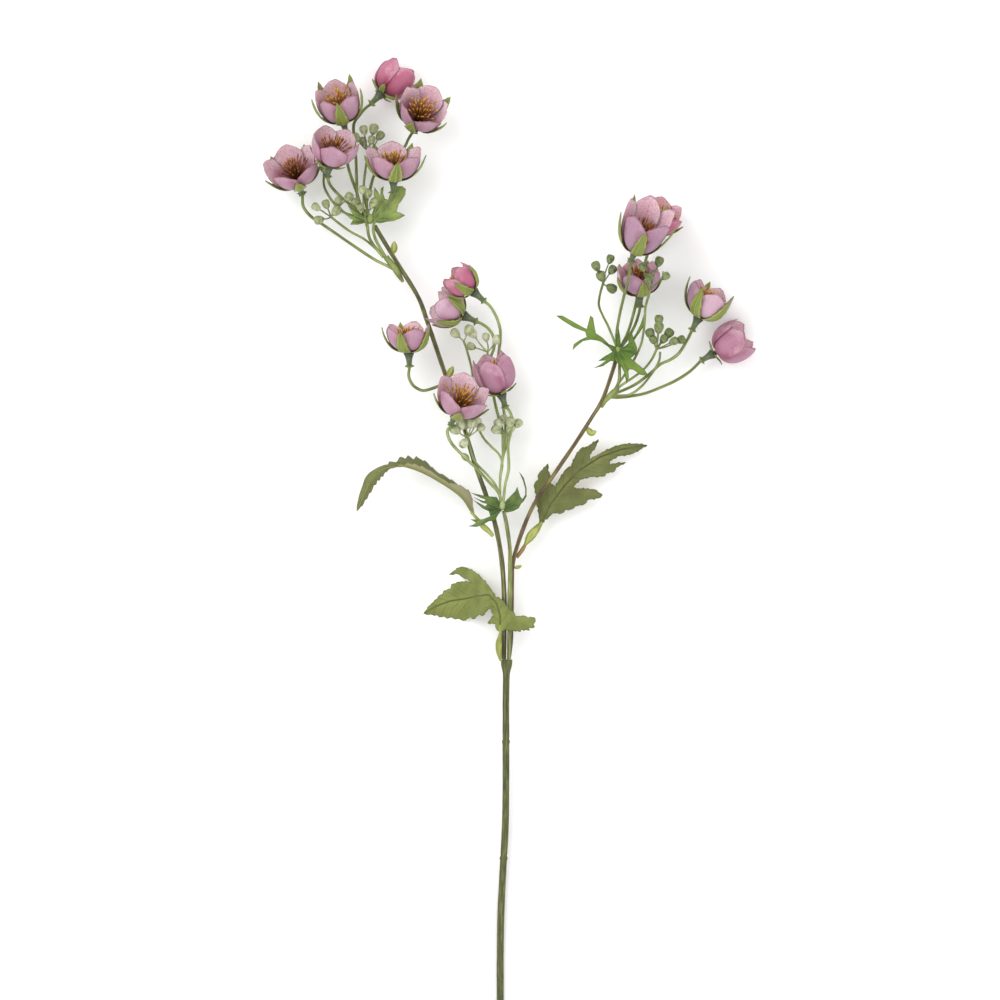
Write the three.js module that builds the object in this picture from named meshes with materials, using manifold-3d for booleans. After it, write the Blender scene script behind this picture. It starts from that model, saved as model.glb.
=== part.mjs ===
// A ranunculus spray lying on a surface: one stem, three branches, sixteen blooms.
// Millimetres. X runs across the spray, Y along it towards the blooms, Z up from the surface.
// Every point of a route or an outline is [x, y, z] or [x, y] in that frame.

import * as THREE from 'three';
import { mergeVertices } from 'three/addons/utils/BufferGeometryUtils.js';
import Module from 'manifold-3d';

const wasm = await Module();
wasm.setup();

// ---- driving dimensions ----------------------------------------------------------------

const BLADE = 0.7; // thickness of petals, bracts and sepals
const LEAF_THICKNESS = 0.8;
const GAP = 0.3; // between pieces that touch

const STEM_RADIUS = 2.45;
const FUNNEL_RADIUS = 4;
const LEFT_BRANCH_RADIUS = 1.7;
const BRANCH_RADIUS = 1.55;
const STALK_RADIUS = 1.05;
const BUD_STALK_RADIUS = 0.85;
const BUD_HAIR_RADIUS = 0.5;
const BUD_RADIUS = 3.6;
const BUD_TIP_RADIUS = 2.4;

const CORE_RADIUS = 2.2; // where the petals of a bloom join
const LAP = 0.9; // how far a petal's two edges lie outside and inside its middle
const CALYX_OFFSET = 2.6; // from the petals' middle surface to the sepals'
const TUBE_LENGTH = 13; // flower tube below the seat of the petals
const PETAL_ROWS = [0, 0.3, 0.7, 1];
const PETAL_COLUMNS = [-1, -0.38, 0.38, 1];
const PETALS = 5;
const SEPAL_ROWS = [0.15, 0.5, 1]; // as shares of the calyx
const SEPAL_LOBE = 0.46; // half a lobe at its middle row, as a share of half the spacing

// ---- finishes --------------------------------------------------------------------------

const finish = (color, roughness) => new THREE.MeshStandardMaterial({ color, roughness, metalness: 0 });

const petalFinish = finish('#c48fa8', 0.8);
const sepalFinish = finish('#94a548', 0.6);
const stamenFinish = finish('#b9822c', 0.6);
const stemFinish = finish('#6f763c', 0.55);
const brownStemFinish = finish('#6b5e38', 0.55);
const sprayFinish = finish('#7f9a58', 0.55);
const leafFinish = finish('#7d8447', 0.75);

// ---- small helpers ---------------------------------------------------------------------

const vec = ([x, y, z = 0]) => new THREE.Vector3(x, y, z);
const mix = (a, b, t) => a + (b - a) * t;

function smooth(from, to, value) {
  return THREE.MathUtils.smoothstep(value, from, to);
}

// An indexed geometry from points and triangles, turned outwards if it is inside out.
function closedGeometry(points, faces) {
  let volume = 0;
  for (const [a, b, c] of faces) {
    volume += points[a].dot(new THREE.Vector3().crossVectors(points[b], points[c]));
  }
  const geometry = new THREE.BufferGeometry();
  geometry.setFromPoints(points);
  geometry.setIndex(faces.flatMap(([a, b, c]) => (volume > 0 ? [a, b, c] : [a, c, b])));
  return geometry;
}

function toSolid(geometry) {
  const bare = geometry.clone();
  bare.deleteAttribute('normal');
  bare.deleteAttribute('uv');
  const merged = mergeVertices(bare, 1e-4);
  const mesh = new wasm.Mesh({
    numProp: 3,
    vertProperties: new Float32Array(merged.attributes.position.array),
    triVerts: new Uint32Array(merged.index.array),
  });
  return new wasm.Manifold(mesh);
}

function fromSolid(solid) {
  const mesh = solid.getMesh();
  const geometry = new THREE.BufferGeometry();
  geometry.setAttribute('position', new THREE.BufferAttribute(mesh.vertProperties, 3));
  geometry.setIndex(new THREE.BufferAttribute(mesh.triVerts, 1));
  return geometry;
}

function fuse(geometries) {
  return fromSolid(geometries.map(toSolid).reduce((whole, piece) => whole.add(piece)));
}

// ---- stems and stalks ------------------------------------------------------------------

// A closed tube through the points, with one radius for each, by rings carried along without
// twisting. A flat of the polygon faces down.
function sweep(points, radii, sides) {
  const rings = [];
  let right = null;
  points.forEach((point, i) => {
    const before = points[Math.max(i - 1, 0)];
    const after = points[Math.min(i + 1, points.length - 1)];
    const along = after.clone().sub(before).normalize();
    const guide = right ?? new THREE.Vector3(0, 0, 1).cross(along);
    right = guide.clone().addScaledVector(along, -guide.dot(along)).normalize();
    const up = along.clone().cross(right);
    for (let k = 0; k < sides; k += 1) {
      const angle = ((k + 0.5) / sides) * 2 * Math.PI;
      rings.push(
        point
          .clone()
          .addScaledVector(up, Math.cos(angle) * radii[i])
          .addScaledVector(right, Math.sin(angle) * radii[i])
      );
    }
  });
  const faces = [];
  for (let i = 0; i < points.length - 1; i += 1) {
    for (let k = 0; k < sides; k += 1) {
      const a = i * sides + k;
      const b = i * sides + ((k + 1) % sides);
      faces.push([a, b, b + sides], [a, b + sides, a + sides]);
    }
  }
  const last = (points.length - 1) * sides;
  for (let k = 1; k < sides - 1; k += 1) {
    faces.push([0, k + 1, k], [last, last + k, last + k + 1]);
  }
  return closedGeometry(rings, faces);
}

// A tube along a smooth curve through the route, in steps of about the given length.
function tube(route, radius, { step = 15.5, sides = 5, tip = radius } = {}) {
  const curve = new THREE.CatmullRomCurve3(route.map(vec), false, 'centripetal');
  const count = Math.max(1, Math.round(curve.getLength() / step));
  const points = curve.getPoints(count);
  const radii = points.map((_, i) => mix(radius, tip, i / count));
  return sweep(points, radii, sides);
}

// A tube whose radius is given at each point of its route.
const shapedTube = (route, radii, sides = 6) => sweep(route.map(vec), radii, sides);

// A turned piece: a profile of [radius, height] spun round +Z.
function turned(profile, sides) {
  const lathe = new THREE.LatheGeometry(
    profile.map(([radius, height]) => new THREE.Vector2(radius, height)),
    sides
  );
  lathe.rotateX(Math.PI / 2);
  lathe.deleteAttribute('normal');
  lathe.deleteAttribute('uv');
  const merged = mergeVertices(lathe, 1e-4);
  const position = merged.attributes.position;
  const points = Array.from({ length: position.count }, (_, i) =>
    new THREE.Vector3().fromBufferAttribute(position, i)
  );
  const faces = [];
  for (let i = 0; i < merged.index.count; i += 3) {
    const face = [0, 1, 2].map((k) => merged.index.getX(i + k));
    if (new Set(face).size === 3) faces.push(face);
  }
  return closedGeometry(points, faces);
}

const MAIN_STEM = [
  [-6.5, -331, 2.3], [-6.5, -300, 2.6], [-6, -269, 4], [-4.5, -237.5, 5.5], [-3, -209.5, 7],
  [-2.5, -181.5, 8.5], [-2.5, -146.5, 10.5], [-2.5, -118.5, 12], [-2.2, -99, 13.5],
  [-2, -90.5, 14.1],
];
const JOINTS_ALONG_STEM = [0.42, 0.76]; // notch rings, as a share of the stem
const LEFT_BRANCH = [
  [-4, -90, 14.3], [-3.7, -69.5, 15.5], [-3.6, -48.5, 16.6], [-5.5, -20.5, 18], [-10, 4, 19],
  [-16.5, 25, 19.6], [-24, 46, 20], [-32.5, 74, 20.6], [-42.5, 102, 21.2], [-48.5, 119.5, 21.8],
  [-57.5, 146, 22.6], [-64, 163.5, 23], [-76.5, 184, 23.6], [-87, 201, 23.9], [-94.4, 213.4, 24.3],
];
const MIDDLE_BRANCH = [
  [-0.5, -90, 15.9], [-0.2, -76.5, 16.8], [0, -48.5, 18.4], [0.5, -20.5, 19.6], [0, -10, 20],
  [-2, 4, 20.4], [-4.1, 13.8, 20.9],
];
const RIGHT_BRANCH = [
  [-0.5, -90, 12.2], [1, -76.5, 13], [1.5, -55.5, 14.6], [1.8, -34.5, 15.6], [2.5, -22, 16.2],
  [8, -3, 17.5], [17, 18, 18.9], [31, 39, 20], [46, 61, 21.2], [57.5, 79, 22.2],
  [65, 91.5, 23], [72, 111, 24], [75, 121.5, 24.8],
];
const LEFT_STUBS = [
  [[-82.5, 193, 24.2], [-81, 195.5, 24.6], [-80.5, 202.5, 25.4]],
  [[-44, 105.5, 21.6], [-42, 109.5, 23], [-39.5, 115, 24.4]],
];
const RIGHT_STUBS = [
  [[3, -26, 16.2], [5, -26, 17.5], [8.5, -24.5, 18.5]],
  [[54, 73.5, 21.8], [57, 68.5, 22.8], [61, 69.5, 23.8]],
];

function mainStem() {
  const steps = 10;
  const curve = new THREE.CatmullRomCurve3(MAIN_STEM.map(vec), false, 'centripetal');
  const rows = [];
  for (let i = 0; i <= steps; i += 1) rows.push([i / steps, STEM_RADIUS]);
  rows[steps][1] = FUNNEL_RADIUS;
  rows.splice(steps, 0, [0.95, STEM_RADIUS + 0.2], [0.965, STEM_RADIUS + 0.5]);
  for (const joint of JOINTS_ALONG_STEM) {
    rows.push([joint - 0.006, STEM_RADIUS], [joint, STEM_RADIUS + 0.45], [joint + 0.006, STEM_RADIUS]);
  }
  rows.sort((a, b) => a[0] - b[0]);
  return sweep(
    rows.map(([share]) => curve.getPoint(share)),
    rows.map(([, radius]) => radius),
    8
  );
}

// A small scale leaf that stands off a branch, three-sided, widest at its middle.
function stub([root, middle, end]) {
  return shapedTube([root, middle, end], [0.9, 1.9, 0.4], 4);
}

function branch(route, radius, stubs) {
  const stem = tube(route, radius, { step: 15, sides: 6, tip: radius - 0.2 });
  return fuse([stem, ...stubs.map(stub)]);
}

// ---- flat blades -----------------------------------------------------------------------

// Triangles that fill a flat outline.
function withinOutline(outline) {
  const corners = outline.map(([x, y]) => new THREE.Vector2(x, y));
  return THREE.ShapeUtils.triangulateShape(corners, []).map((face) => face.map((i) => outline[i]));
}

// Triangles between a rib and one edge of a leaf, when both run the same way along x.
function besideRib(rib, edge) {
  const triangles = [];
  let i = 0;
  let k = 0;
  while (i < rib.length - 1 || k < edge.length - 1) {
    const alongRib = i < rib.length - 1 && (k === edge.length - 1 || rib[i + 1][0] < edge[k + 1][0]);
    const [from, beside] = [rib[i], edge[k]];
    if (alongRib) i += 1;
    else k += 1;
    triangles.push([from, beside, alongRib ? rib[i] : edge[k]]);
  }
  return triangles;
}

// A thin closed solid over flat triangles: place(x, y, side) says where a point of the upper
// (+1) or lower (-1) face lies, and both faces are split alike. margin is the loop round them.
function bladeSolid(triangles, margin, place) {
  const flat = [];
  const number = new Map();
  const indexOf = ([x, y]) => {
    const key = `${x},${y}`;
    if (!number.has(key)) {
      number.set(key, flat.length);
      flat.push([x, y]);
    }
    return number.get(key);
  };
  const areaOf = (loop) => THREE.ShapeUtils.area(loop.map(([x, y]) => new THREE.Vector2(x, y)));
  const forwards = (loop) => (areaOf(loop) > 0 ? loop : [...loop].reverse()).map(indexOf);
  const upper = triangles.map(forwards);
  const loop = forwards(margin);
  const count = flat.length;
  const points = [1, -1].flatMap((side) => flat.map(([x, y]) => place(x, y, side)));
  const faces = upper.flatMap(([a, b, c]) => [[a, b, c], [a + count, c + count, b + count]]);
  loop.forEach((a, i) => {
    const b = loop[(i + 1) % loop.length];
    faces.push([a, a + count, b + count], [a, b + count, b]);
  });
  return closedGeometry(points, faces);
}

// A cut bract: an outline whose height rises and then droops with distance from its root.
function bract(outline, { height, rise = 0.12, droop = 0.0035 }) {
  const [rootX, rootY] = outline[0];
  return bladeSolid(withinOutline(outline), outline, (x, y, side) => {
    const far = Math.hypot(x - rootX, y - rootY);
    return vec([x, y, height + rise * far - droop * far * far + (side * BLADE) / 2]);
  });
}

// ---- blooms ----------------------------------------------------------------------------

// seat is where the petals join; axis points out of the cup; turn is where the first petal
// stands, in degrees from the side nearest the viewer above; deep and belly and rim are the
// cup's depth and radii; wide is half a petal's angle; calyx is the sepals' length as a share
// of the petals', and flare how far their tips lean away; loose is how far each petal's tip
// leans out past the rim.
const BLOOMS = [
  {
    name: 'a1', seat: [-117, 289, 30], axis: [-0.19, 0.79, 0.57], turn: -38,
    deep: 22.5, belly: 14, rim: 13.2, wide: 42, calyx: 1, flare: 2.2, loose: [0, 0.5, 0, 0.5, 0],
  },
  {
    name: 'a2', seat: [-88.5, 307.5, 18.7], axis: [0.66, 0.69, -0.3], turn: -50,
    deep: 20.5, belly: 13, rim: 12, wide: 42, calyx: 0.3, flare: 0.5, loose: [0.5, 1, 0, 0, 0],
  },
  {
    name: 'a3', seat: [-64.3, 286.8, 28], axis: [0.26, 0.57, 0.78], turn: 30,
    deep: 20, belly: 14.5, rim: 15.2, wide: 42, calyx: 0.98, flare: 2.5, loose: [0, 0.5, 1, 0, 0],
  },
  {
    name: 'a4', seat: [-148.5, 245, 20], axis: [-0.25, 0.72, 0.65], turn: -35,
    deep: 19, belly: 15.5, rim: 16.8, wide: 38, calyx: 0.84, flare: 1.6, loose: [0, 0, 0, 0, 1.5],
  },
  {
    name: 'a5', seat: [-125, 258, 38], axis: [0.2, 0.84, 0.5], turn: 3,
    deep: 19.5, belly: 14.5, rim: 15, wide: 40, calyx: 0.5, flare: 0.8, loose: [0.5, 1, 0, 0, 0],
  },
  {
    name: 'a6', seat: [-81, 247.8, 34], axis: [0.03, 0.93, 0.36], turn: -31,
    deep: 19, belly: 16, rim: 18, wide: 38, calyx: 0.95, flare: 1.5, loose: [0, 0, 0, 0, 0.5],
  },
  {
    name: 'b1', seat: [-27, 168.5, 45], axis: [-0.74, 0.66, 0.12], turn: 20,
    deep: 17.5, belly: 11.2, rim: 8.5, wide: 45, calyx: 0.78, flare: 0.4, loose: [0, 0, 0, 0, 0],
  },
  {
    name: 'b2', seat: [-34.5, 151.5, 25], axis: [-0.9, 0.42, 0.1], turn: -10,
    deep: 19, belly: 12.5, rim: 11, wide: 42, calyx: 0.78, flare: 1.6, loose: [0, 0, 0, 0, 1.5],
  },
  {
    name: 'b3', seat: [-70.5, 127, 36], axis: [-0.04, 0.98, 0.2], turn: 17,
    deep: 16.2, belly: 13.2, rim: 13.8, wide: 38, calyx: 0.95, flare: 0.8, loose: [0, 0, 0, 0, 0.5],
  },
  {
    name: 'b4', seat: [-37, 83.5, 40.5], axis: [0.3, 0.78, 0.55], turn: -28,
    deep: 20.5, belly: 15.5, rim: 17, wide: 39, calyx: 0.75, flare: 1.5, loose: [0, 1.5, 0, 0, 0],
  },
  {
    name: 'b5', seat: [-6.5, 98, 28.5], axis: [-0.3, 0.93, 0.2], turn: -20,
    deep: 24.5, belly: 15, rim: 10.5, wide: 45, calyx: 0.3, flare: 0.5, loose: [0, 0, 0.5, 0, 0.5],
  },
  {
    name: 'c1', seat: [88.5, 197.5, 52], axis: [0.28, 0.72, 0.6], turn: -28,
    deep: 34, belly: 14.6, rim: 15.5, wide: 42, calyx: 0.9, flare: 2.6, loose: [0, 0, 0.5, 0, 0],
  },
  {
    name: 'c2', seat: [102.5, 211, 15], axis: [0.25, 0.8, 0.54], turn: 46,
    deep: 18, belly: 12.8, rim: 13.5, wide: 42, calyx: 0.7, flare: 1, loose: [1.5, 0, 0, 0, 0],
  },
  {
    name: 'c3', seat: [91, 168, 22], axis: [-0.04, 0.89, 0.45], turn: -25,
    deep: 18, belly: 13.5, rim: 14, wide: 40, calyx: 0.85, flare: 0.6, loose: [0, 0, 0, 0, 0.5],
  },
  {
    name: 'c4', seat: [133.5, 151.2, 24], axis: [0.45, 0.87, 0.2], turn: 15,
    deep: 20, belly: 14, rim: 14, wide: 39, calyx: 0.98, flare: 1.1, loose: [0, 0.5, 0, 0, 0.5],
  },
  {
    name: 'c5', seat: [145.3, 125.5, 13.3], axis: [0.85, 0.5, 0.12], turn: -5,
    deep: 23.5, belly: 14, rim: 11.8, wide: 43, calyx: 0.2, flare: 0.3, loose: [0, 0, 0, 0.5, 0.5],
  },
];

const bloomNamed = (name) => BLOOMS.find((bloom) => bloom.name === name);
const axisOf = (bloom) => vec(bloom.axis).normalize();

// The cup's wall in section: a cubic curve from the core out to the rim, its radius and
// height at share s, and the unit normal that points out of the cup.
function cupSection(bloom, s) {
  const control = [
    [CORE_RADIUS, 0],
    [bloom.belly * 0.95, 0],
    [bloom.belly * 1.15, bloom.deep * 0.62],
    [bloom.rim, bloom.deep],
  ].map(([radius, height]) => new THREE.Vector2(radius, height));
  const curve = new THREE.CubicBezierCurve(...control);
  const at = curve.getPoint(s);
  const along = curve.getTangent(s);
  return { radius: at.x, height: at.y, normal: new THREE.Vector2(along.y, -along.x) };
}

const aroundAxis = (radius, height, angle) =>
  new THREE.Vector3(radius * Math.cos(angle), radius * Math.sin(angle), height);

// Half the angle that a petal covers at share s: full for most of the way, rounded at the tip.
const petalReach = (bloom, s) =>
  THREE.MathUtils.degToRad(bloom.wide) * (1 - Math.abs((s - 0.5) / 0.56) ** 3) ** 0.4;

function petalPoint(bloom, petal, s, t, side) {
  const section = cupSection(bloom, s);
  const lift = LAP * t * Math.min(1, s / 0.3) + bloom.loose[petal] * s * s + (side * BLADE) / 2;
  const angle = THREE.MathUtils.degToRad(bloom.turn + (360 / PETALS) * petal) + t * petalReach(bloom, s);
  const drop = bloom.deep * 0.1 * t * t * s ** 3;
  return aroundAxis(
    section.radius + section.normal.x * lift,
    section.height + section.normal.y * lift - drop,
    angle
  );
}

// Five petals that grow out of one small disc, each blade a grid of rows and columns.
function petals(bloom) {
  const points = [];
  const faces = [];
  const columns = PETAL_COLUMNS.length;
  const rows = PETAL_ROWS.length;
  const face = columns * rows;
  const centre = { 1: 2 * face * PETALS, [-1]: 2 * face * PETALS + 1 };
  const at = (petal, side, row, column) =>
    (petal * 2 + (side > 0 ? 0 : 1)) * face + row * columns + column;
  for (let petal = 0; petal < PETALS; petal += 1) {
    for (const side of [1, -1]) {
      for (const s of PETAL_ROWS) {
        for (const t of PETAL_COLUMNS) points.push(petalPoint(bloom, petal, s, t, side));
      }
    }
  }
  points.push(aroundAxis(0, -BLADE / 2, 0), aroundAxis(0, BLADE / 2, 0));
  for (let petal = 0; petal < PETALS; petal += 1) {
    const next = (petal + 1) % PETALS;
    for (const side of [1, -1]) {
      const push = (a, b, c) => faces.push(side > 0 ? [a, b, c] : [a, c, b]);
      for (let row = 0; row < rows - 1; row += 1) {
        for (let column = 0; column < columns - 1; column += 1) {
          const a = at(petal, side, row, column);
          const b = at(petal, side, row, column + 1);
          const c = at(petal, side, row + 1, column + 1);
          const d = at(petal, side, row + 1, column);
          push(a, b, c);
          push(a, c, d);
        }
      }
      for (let column = 0; column < columns - 1; column += 1) {
        push(centre[side], at(petal, side, 0, column + 1), at(petal, side, 0, column));
      }
      push(centre[side], at(next, side, 0, 0), at(petal, side, 0, columns - 1));
    }
    const edge = [
      ...PETAL_ROWS.map((_, row) => [row, 0]).reverse(),
      null,
      ...PETAL_ROWS.map((_, row) => [row, columns - 1]),
    ];
    const wall = (from, to) => {
      const a = at(petal, 1, ...from);
      const b = at(petal, 1, ...to);
      const c = at(petal, -1, ...to);
      const d = at(petal, -1, ...from);
      faces.push([a, d, c], [a, c, b]);
    };
    for (let i = 0; i < rows - 1; i += 1) {
      wall(edge[i], edge[i + 1]);
      wall(edge[rows + 1 + i], edge[rows + 2 + i]);
    }
    for (let column = columns - 1; column > 0; column -= 1) {
      wall([rows - 1, column], [rows - 1, column - 1]);
    }
    const a = at(next, 1, 0, 0);
    const b = at(petal, 1, 0, columns - 1);
    const c = at(petal, -1, 0, columns - 1);
    const d = at(next, -1, 0, 0);
    faces.push([a, d, c], [a, c, b]);
  }
  return closedGeometry(points, faces);
}

// The green star under the petals: one thin plate that follows the cup outside the petals,
// whole round its foot and cut into five pointed sepals above.
function sepals(bloom) {
  const rows = SEPAL_ROWS.map((s) => s * bloom.calyx);
  const halfSpacing = THREE.MathUtils.degToRad(180 / PETALS);
  const lobe = halfSpacing * SEPAL_LOBE;
  const point = (s, angle, side) => {
    const section = cupSection(bloom, s);
    const lift = CALYX_OFFSET + bloom.flare * s * s - (side * BLADE) / 2;
    return aroundAxis(
      section.radius + section.normal.x * lift,
      section.height + section.normal.y * lift,
      angle
    );
  };
  const points = [];
  const faces = [];
  const perSepal = 6;
  const perSide = 1 + PETALS * perSepal;
  for (const side of [1, -1]) {
    points.push(aroundAxis(0, -CALYX_OFFSET + (side * BLADE) / 2, 0));
    for (let sepal = 0; sepal < PETALS; sepal += 1) {
      const middle = THREE.MathUtils.degToRad(bloom.turn + (360 / PETALS) * (sepal + 0.5));
      points.push(
        point(rows[0], middle - halfSpacing, side),
        point(rows[0], middle, side),
        point(rows[1], middle - lobe, side),
        point(rows[1], middle, side),
        point(rows[1], middle + lobe, side),
        point(rows[2], middle, side)
      );
    }
  }
  for (let sepal = 0; sepal < PETALS; sepal += 1) {
    const own = 1 + sepal * perSepal;
    const nextNotch = 1 + ((sepal + 1) % PETALS) * perSepal;
    const [notch, base, left, middle, right, tip] = [0, 1, 2, 3, 4, 5].map((k) => own + k);
    const blade = [
      [0, notch, base], [0, base, nextNotch], [notch, left, middle], [notch, middle, base],
      [base, middle, right], [base, right, nextNotch], [left, tip, middle], [middle, tip, right],
    ];
    for (const [a, b, c] of blade) {
      faces.push([a, b, c], [a + perSide, c + perSide, b + perSide]);
    }
    const edge = [notch, left, tip, right, nextNotch];
    for (let i = 0; i < edge.length - 1; i += 1) {
      const [a, b] = [edge[i], edge[i + 1]];
      faces.push([a, a + perSide, b + perSide], [a, b + perSide, b]);
    }
  }
  return closedGeometry(points, faces);
}

// A tuft of three-sided filaments that grow out of the top of a small cone inside the cup,
// half as many where the cup is nearly closed.
function stamens(bloom) {
  const foot = BLADE / 2 + GAP;
  const count = 6;
  const nearlyClosed = bloom.rim < 0.93 * bloom.belly;
  const ring = (radius, height) =>
    Array.from({ length: count }, (_, i) => aroundAxis(radius, height, (i / count) * 2 * Math.PI));
  const points = [
    aroundAxis(0, foot, 0),
    aroundAxis(0, foot + 1.6, 0),
    ...ring(2.2, foot),
    ...ring(2, foot + 1),
  ];
  const faces = [];
  for (let i = 0; i < count; i += 1) {
    const next = (i + 1) % count;
    const [low, lowNext, high, highNext] = [2 + i, 2 + next, 2 + count + i, 2 + count + next];
    faces.push([0, lowNext, low], [low, lowNext, highNext], [low, highNext, high]);
    const corners = [high, highNext, 1];
    const middle = new THREE.Vector3();
    corners.forEach((corner) => middle.addScaledVector(points[corner], 1 / 3));
    const length = bloom.deep * [0.62, 0.5][i % 2];
    const spread = [0.25, 0.5][i % 2] * Math.min(1, bloom.rim / bloom.belly) ** 2;
    const top = middle.clone().add(new THREE.Vector3(middle.x, middle.y, 0).setLength(spread * length));
    top.z += length;
    if (nearlyClosed && i % 2) {
      faces.push(corners);
      continue;
    }
    const root = points.length;
    corners.forEach((corner) => points.push(points[corner].clone().lerp(middle, 0.35)));
    corners.forEach((corner) =>
      points.push(top.clone().addScaledVector(points[corner].clone().sub(middle), 0.5))
    );
    for (let k = 0; k < 3; k += 1) {
      const beside = (k + 1) % 3;
      const steps = [
        [corners[k], corners[beside]],
        [root + k, root + beside],
        [root + 3 + k, root + 3 + beside],
      ];
      for (let step = 0; step < 2; step += 1) {
        const [a, b] = steps[step];
        const [d, c] = steps[step + 1];
        faces.push([a, b, c], [a, c, d]);
      }
    }
    faces.push([root + 3, root + 4, root + 5]);
  }
  return closedGeometry(points, faces);
}

// The turning that carries a bloom's own frame (+X towards the viewer, +Z out of the cup) into
// the spray's.
function bloomTurning(bloom) {
  const up = axisOf(bloom);
  const front = new THREE.Vector3(0, 0, 1).addScaledVector(up, -up.z).normalize();
  const side = up.clone().cross(front);
  return new THREE.Quaternion().setFromRotationMatrix(
    new THREE.Matrix4().makeBasis(front, side, up)
  );
}

// The dark tube under a bloom, with its ragged collar, in the spray's frame.
function flowerTube(bloom) {
  const top = -CALYX_OFFSET - BLADE / 2 - GAP;
  const end = -TUBE_LENGTH;
  const piece = turned(
    [[0, end - 0.6], [1, end - 0.6], [2.4, end + 0.7], [1.7, end + 1.4], [3.6, top], [0, top]],
    5
  );
  return piece.applyQuaternion(bloomTurning(bloom)).translate(...bloom.seat);
}

const tubeEnd = (bloom) => vec(bloom.seat).addScaledVector(axisOf(bloom), -TUBE_LENGTH).toArray();

// ---- sprays: stalks, flower tubes, buds and bracts of one branch -----------------------

// A group of buds on short stalks that fan out of the hub. They stand by turns nearer to the
// viewer and farther off.
function budGroup(hub, buds) {
  const centre = vec(hub);
  return buds.map(([x, y], i) => {
    const bud = new THREE.Vector3(x, y, hub[2] + 3.2 * Math.sin(2.4 * i + 0.6));
    const along = bud.clone().sub(centre).normalize();
    const rings = [-3, 0.4, 3].map((ahead) => bud.clone().addScaledVector(along, ahead));
    const radii = [BUD_HAIR_RADIUS, BUD_HAIR_RADIUS, BUD_RADIUS, BUD_TIP_RADIUS];
    return sweep([centre, ...rings], radii, 4);
  });
}

const knob = ([x, y, z], radius) =>
  turned([[0, -radius], [radius * 0.8, -radius * 0.5], [radius * 0.8, radius * 0.5], [0, radius]], 6)
    .translate(x, y, z);

const bloomStalk = (name, route) => [
  flowerTube(bloomNamed(name)),
  tube([tubeEnd(bloomNamed(name)), ...route], STALK_RADIUS),
];
const budStalk = (route) => tube(route, BUD_STALK_RADIUS, { sides: 4 });

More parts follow.
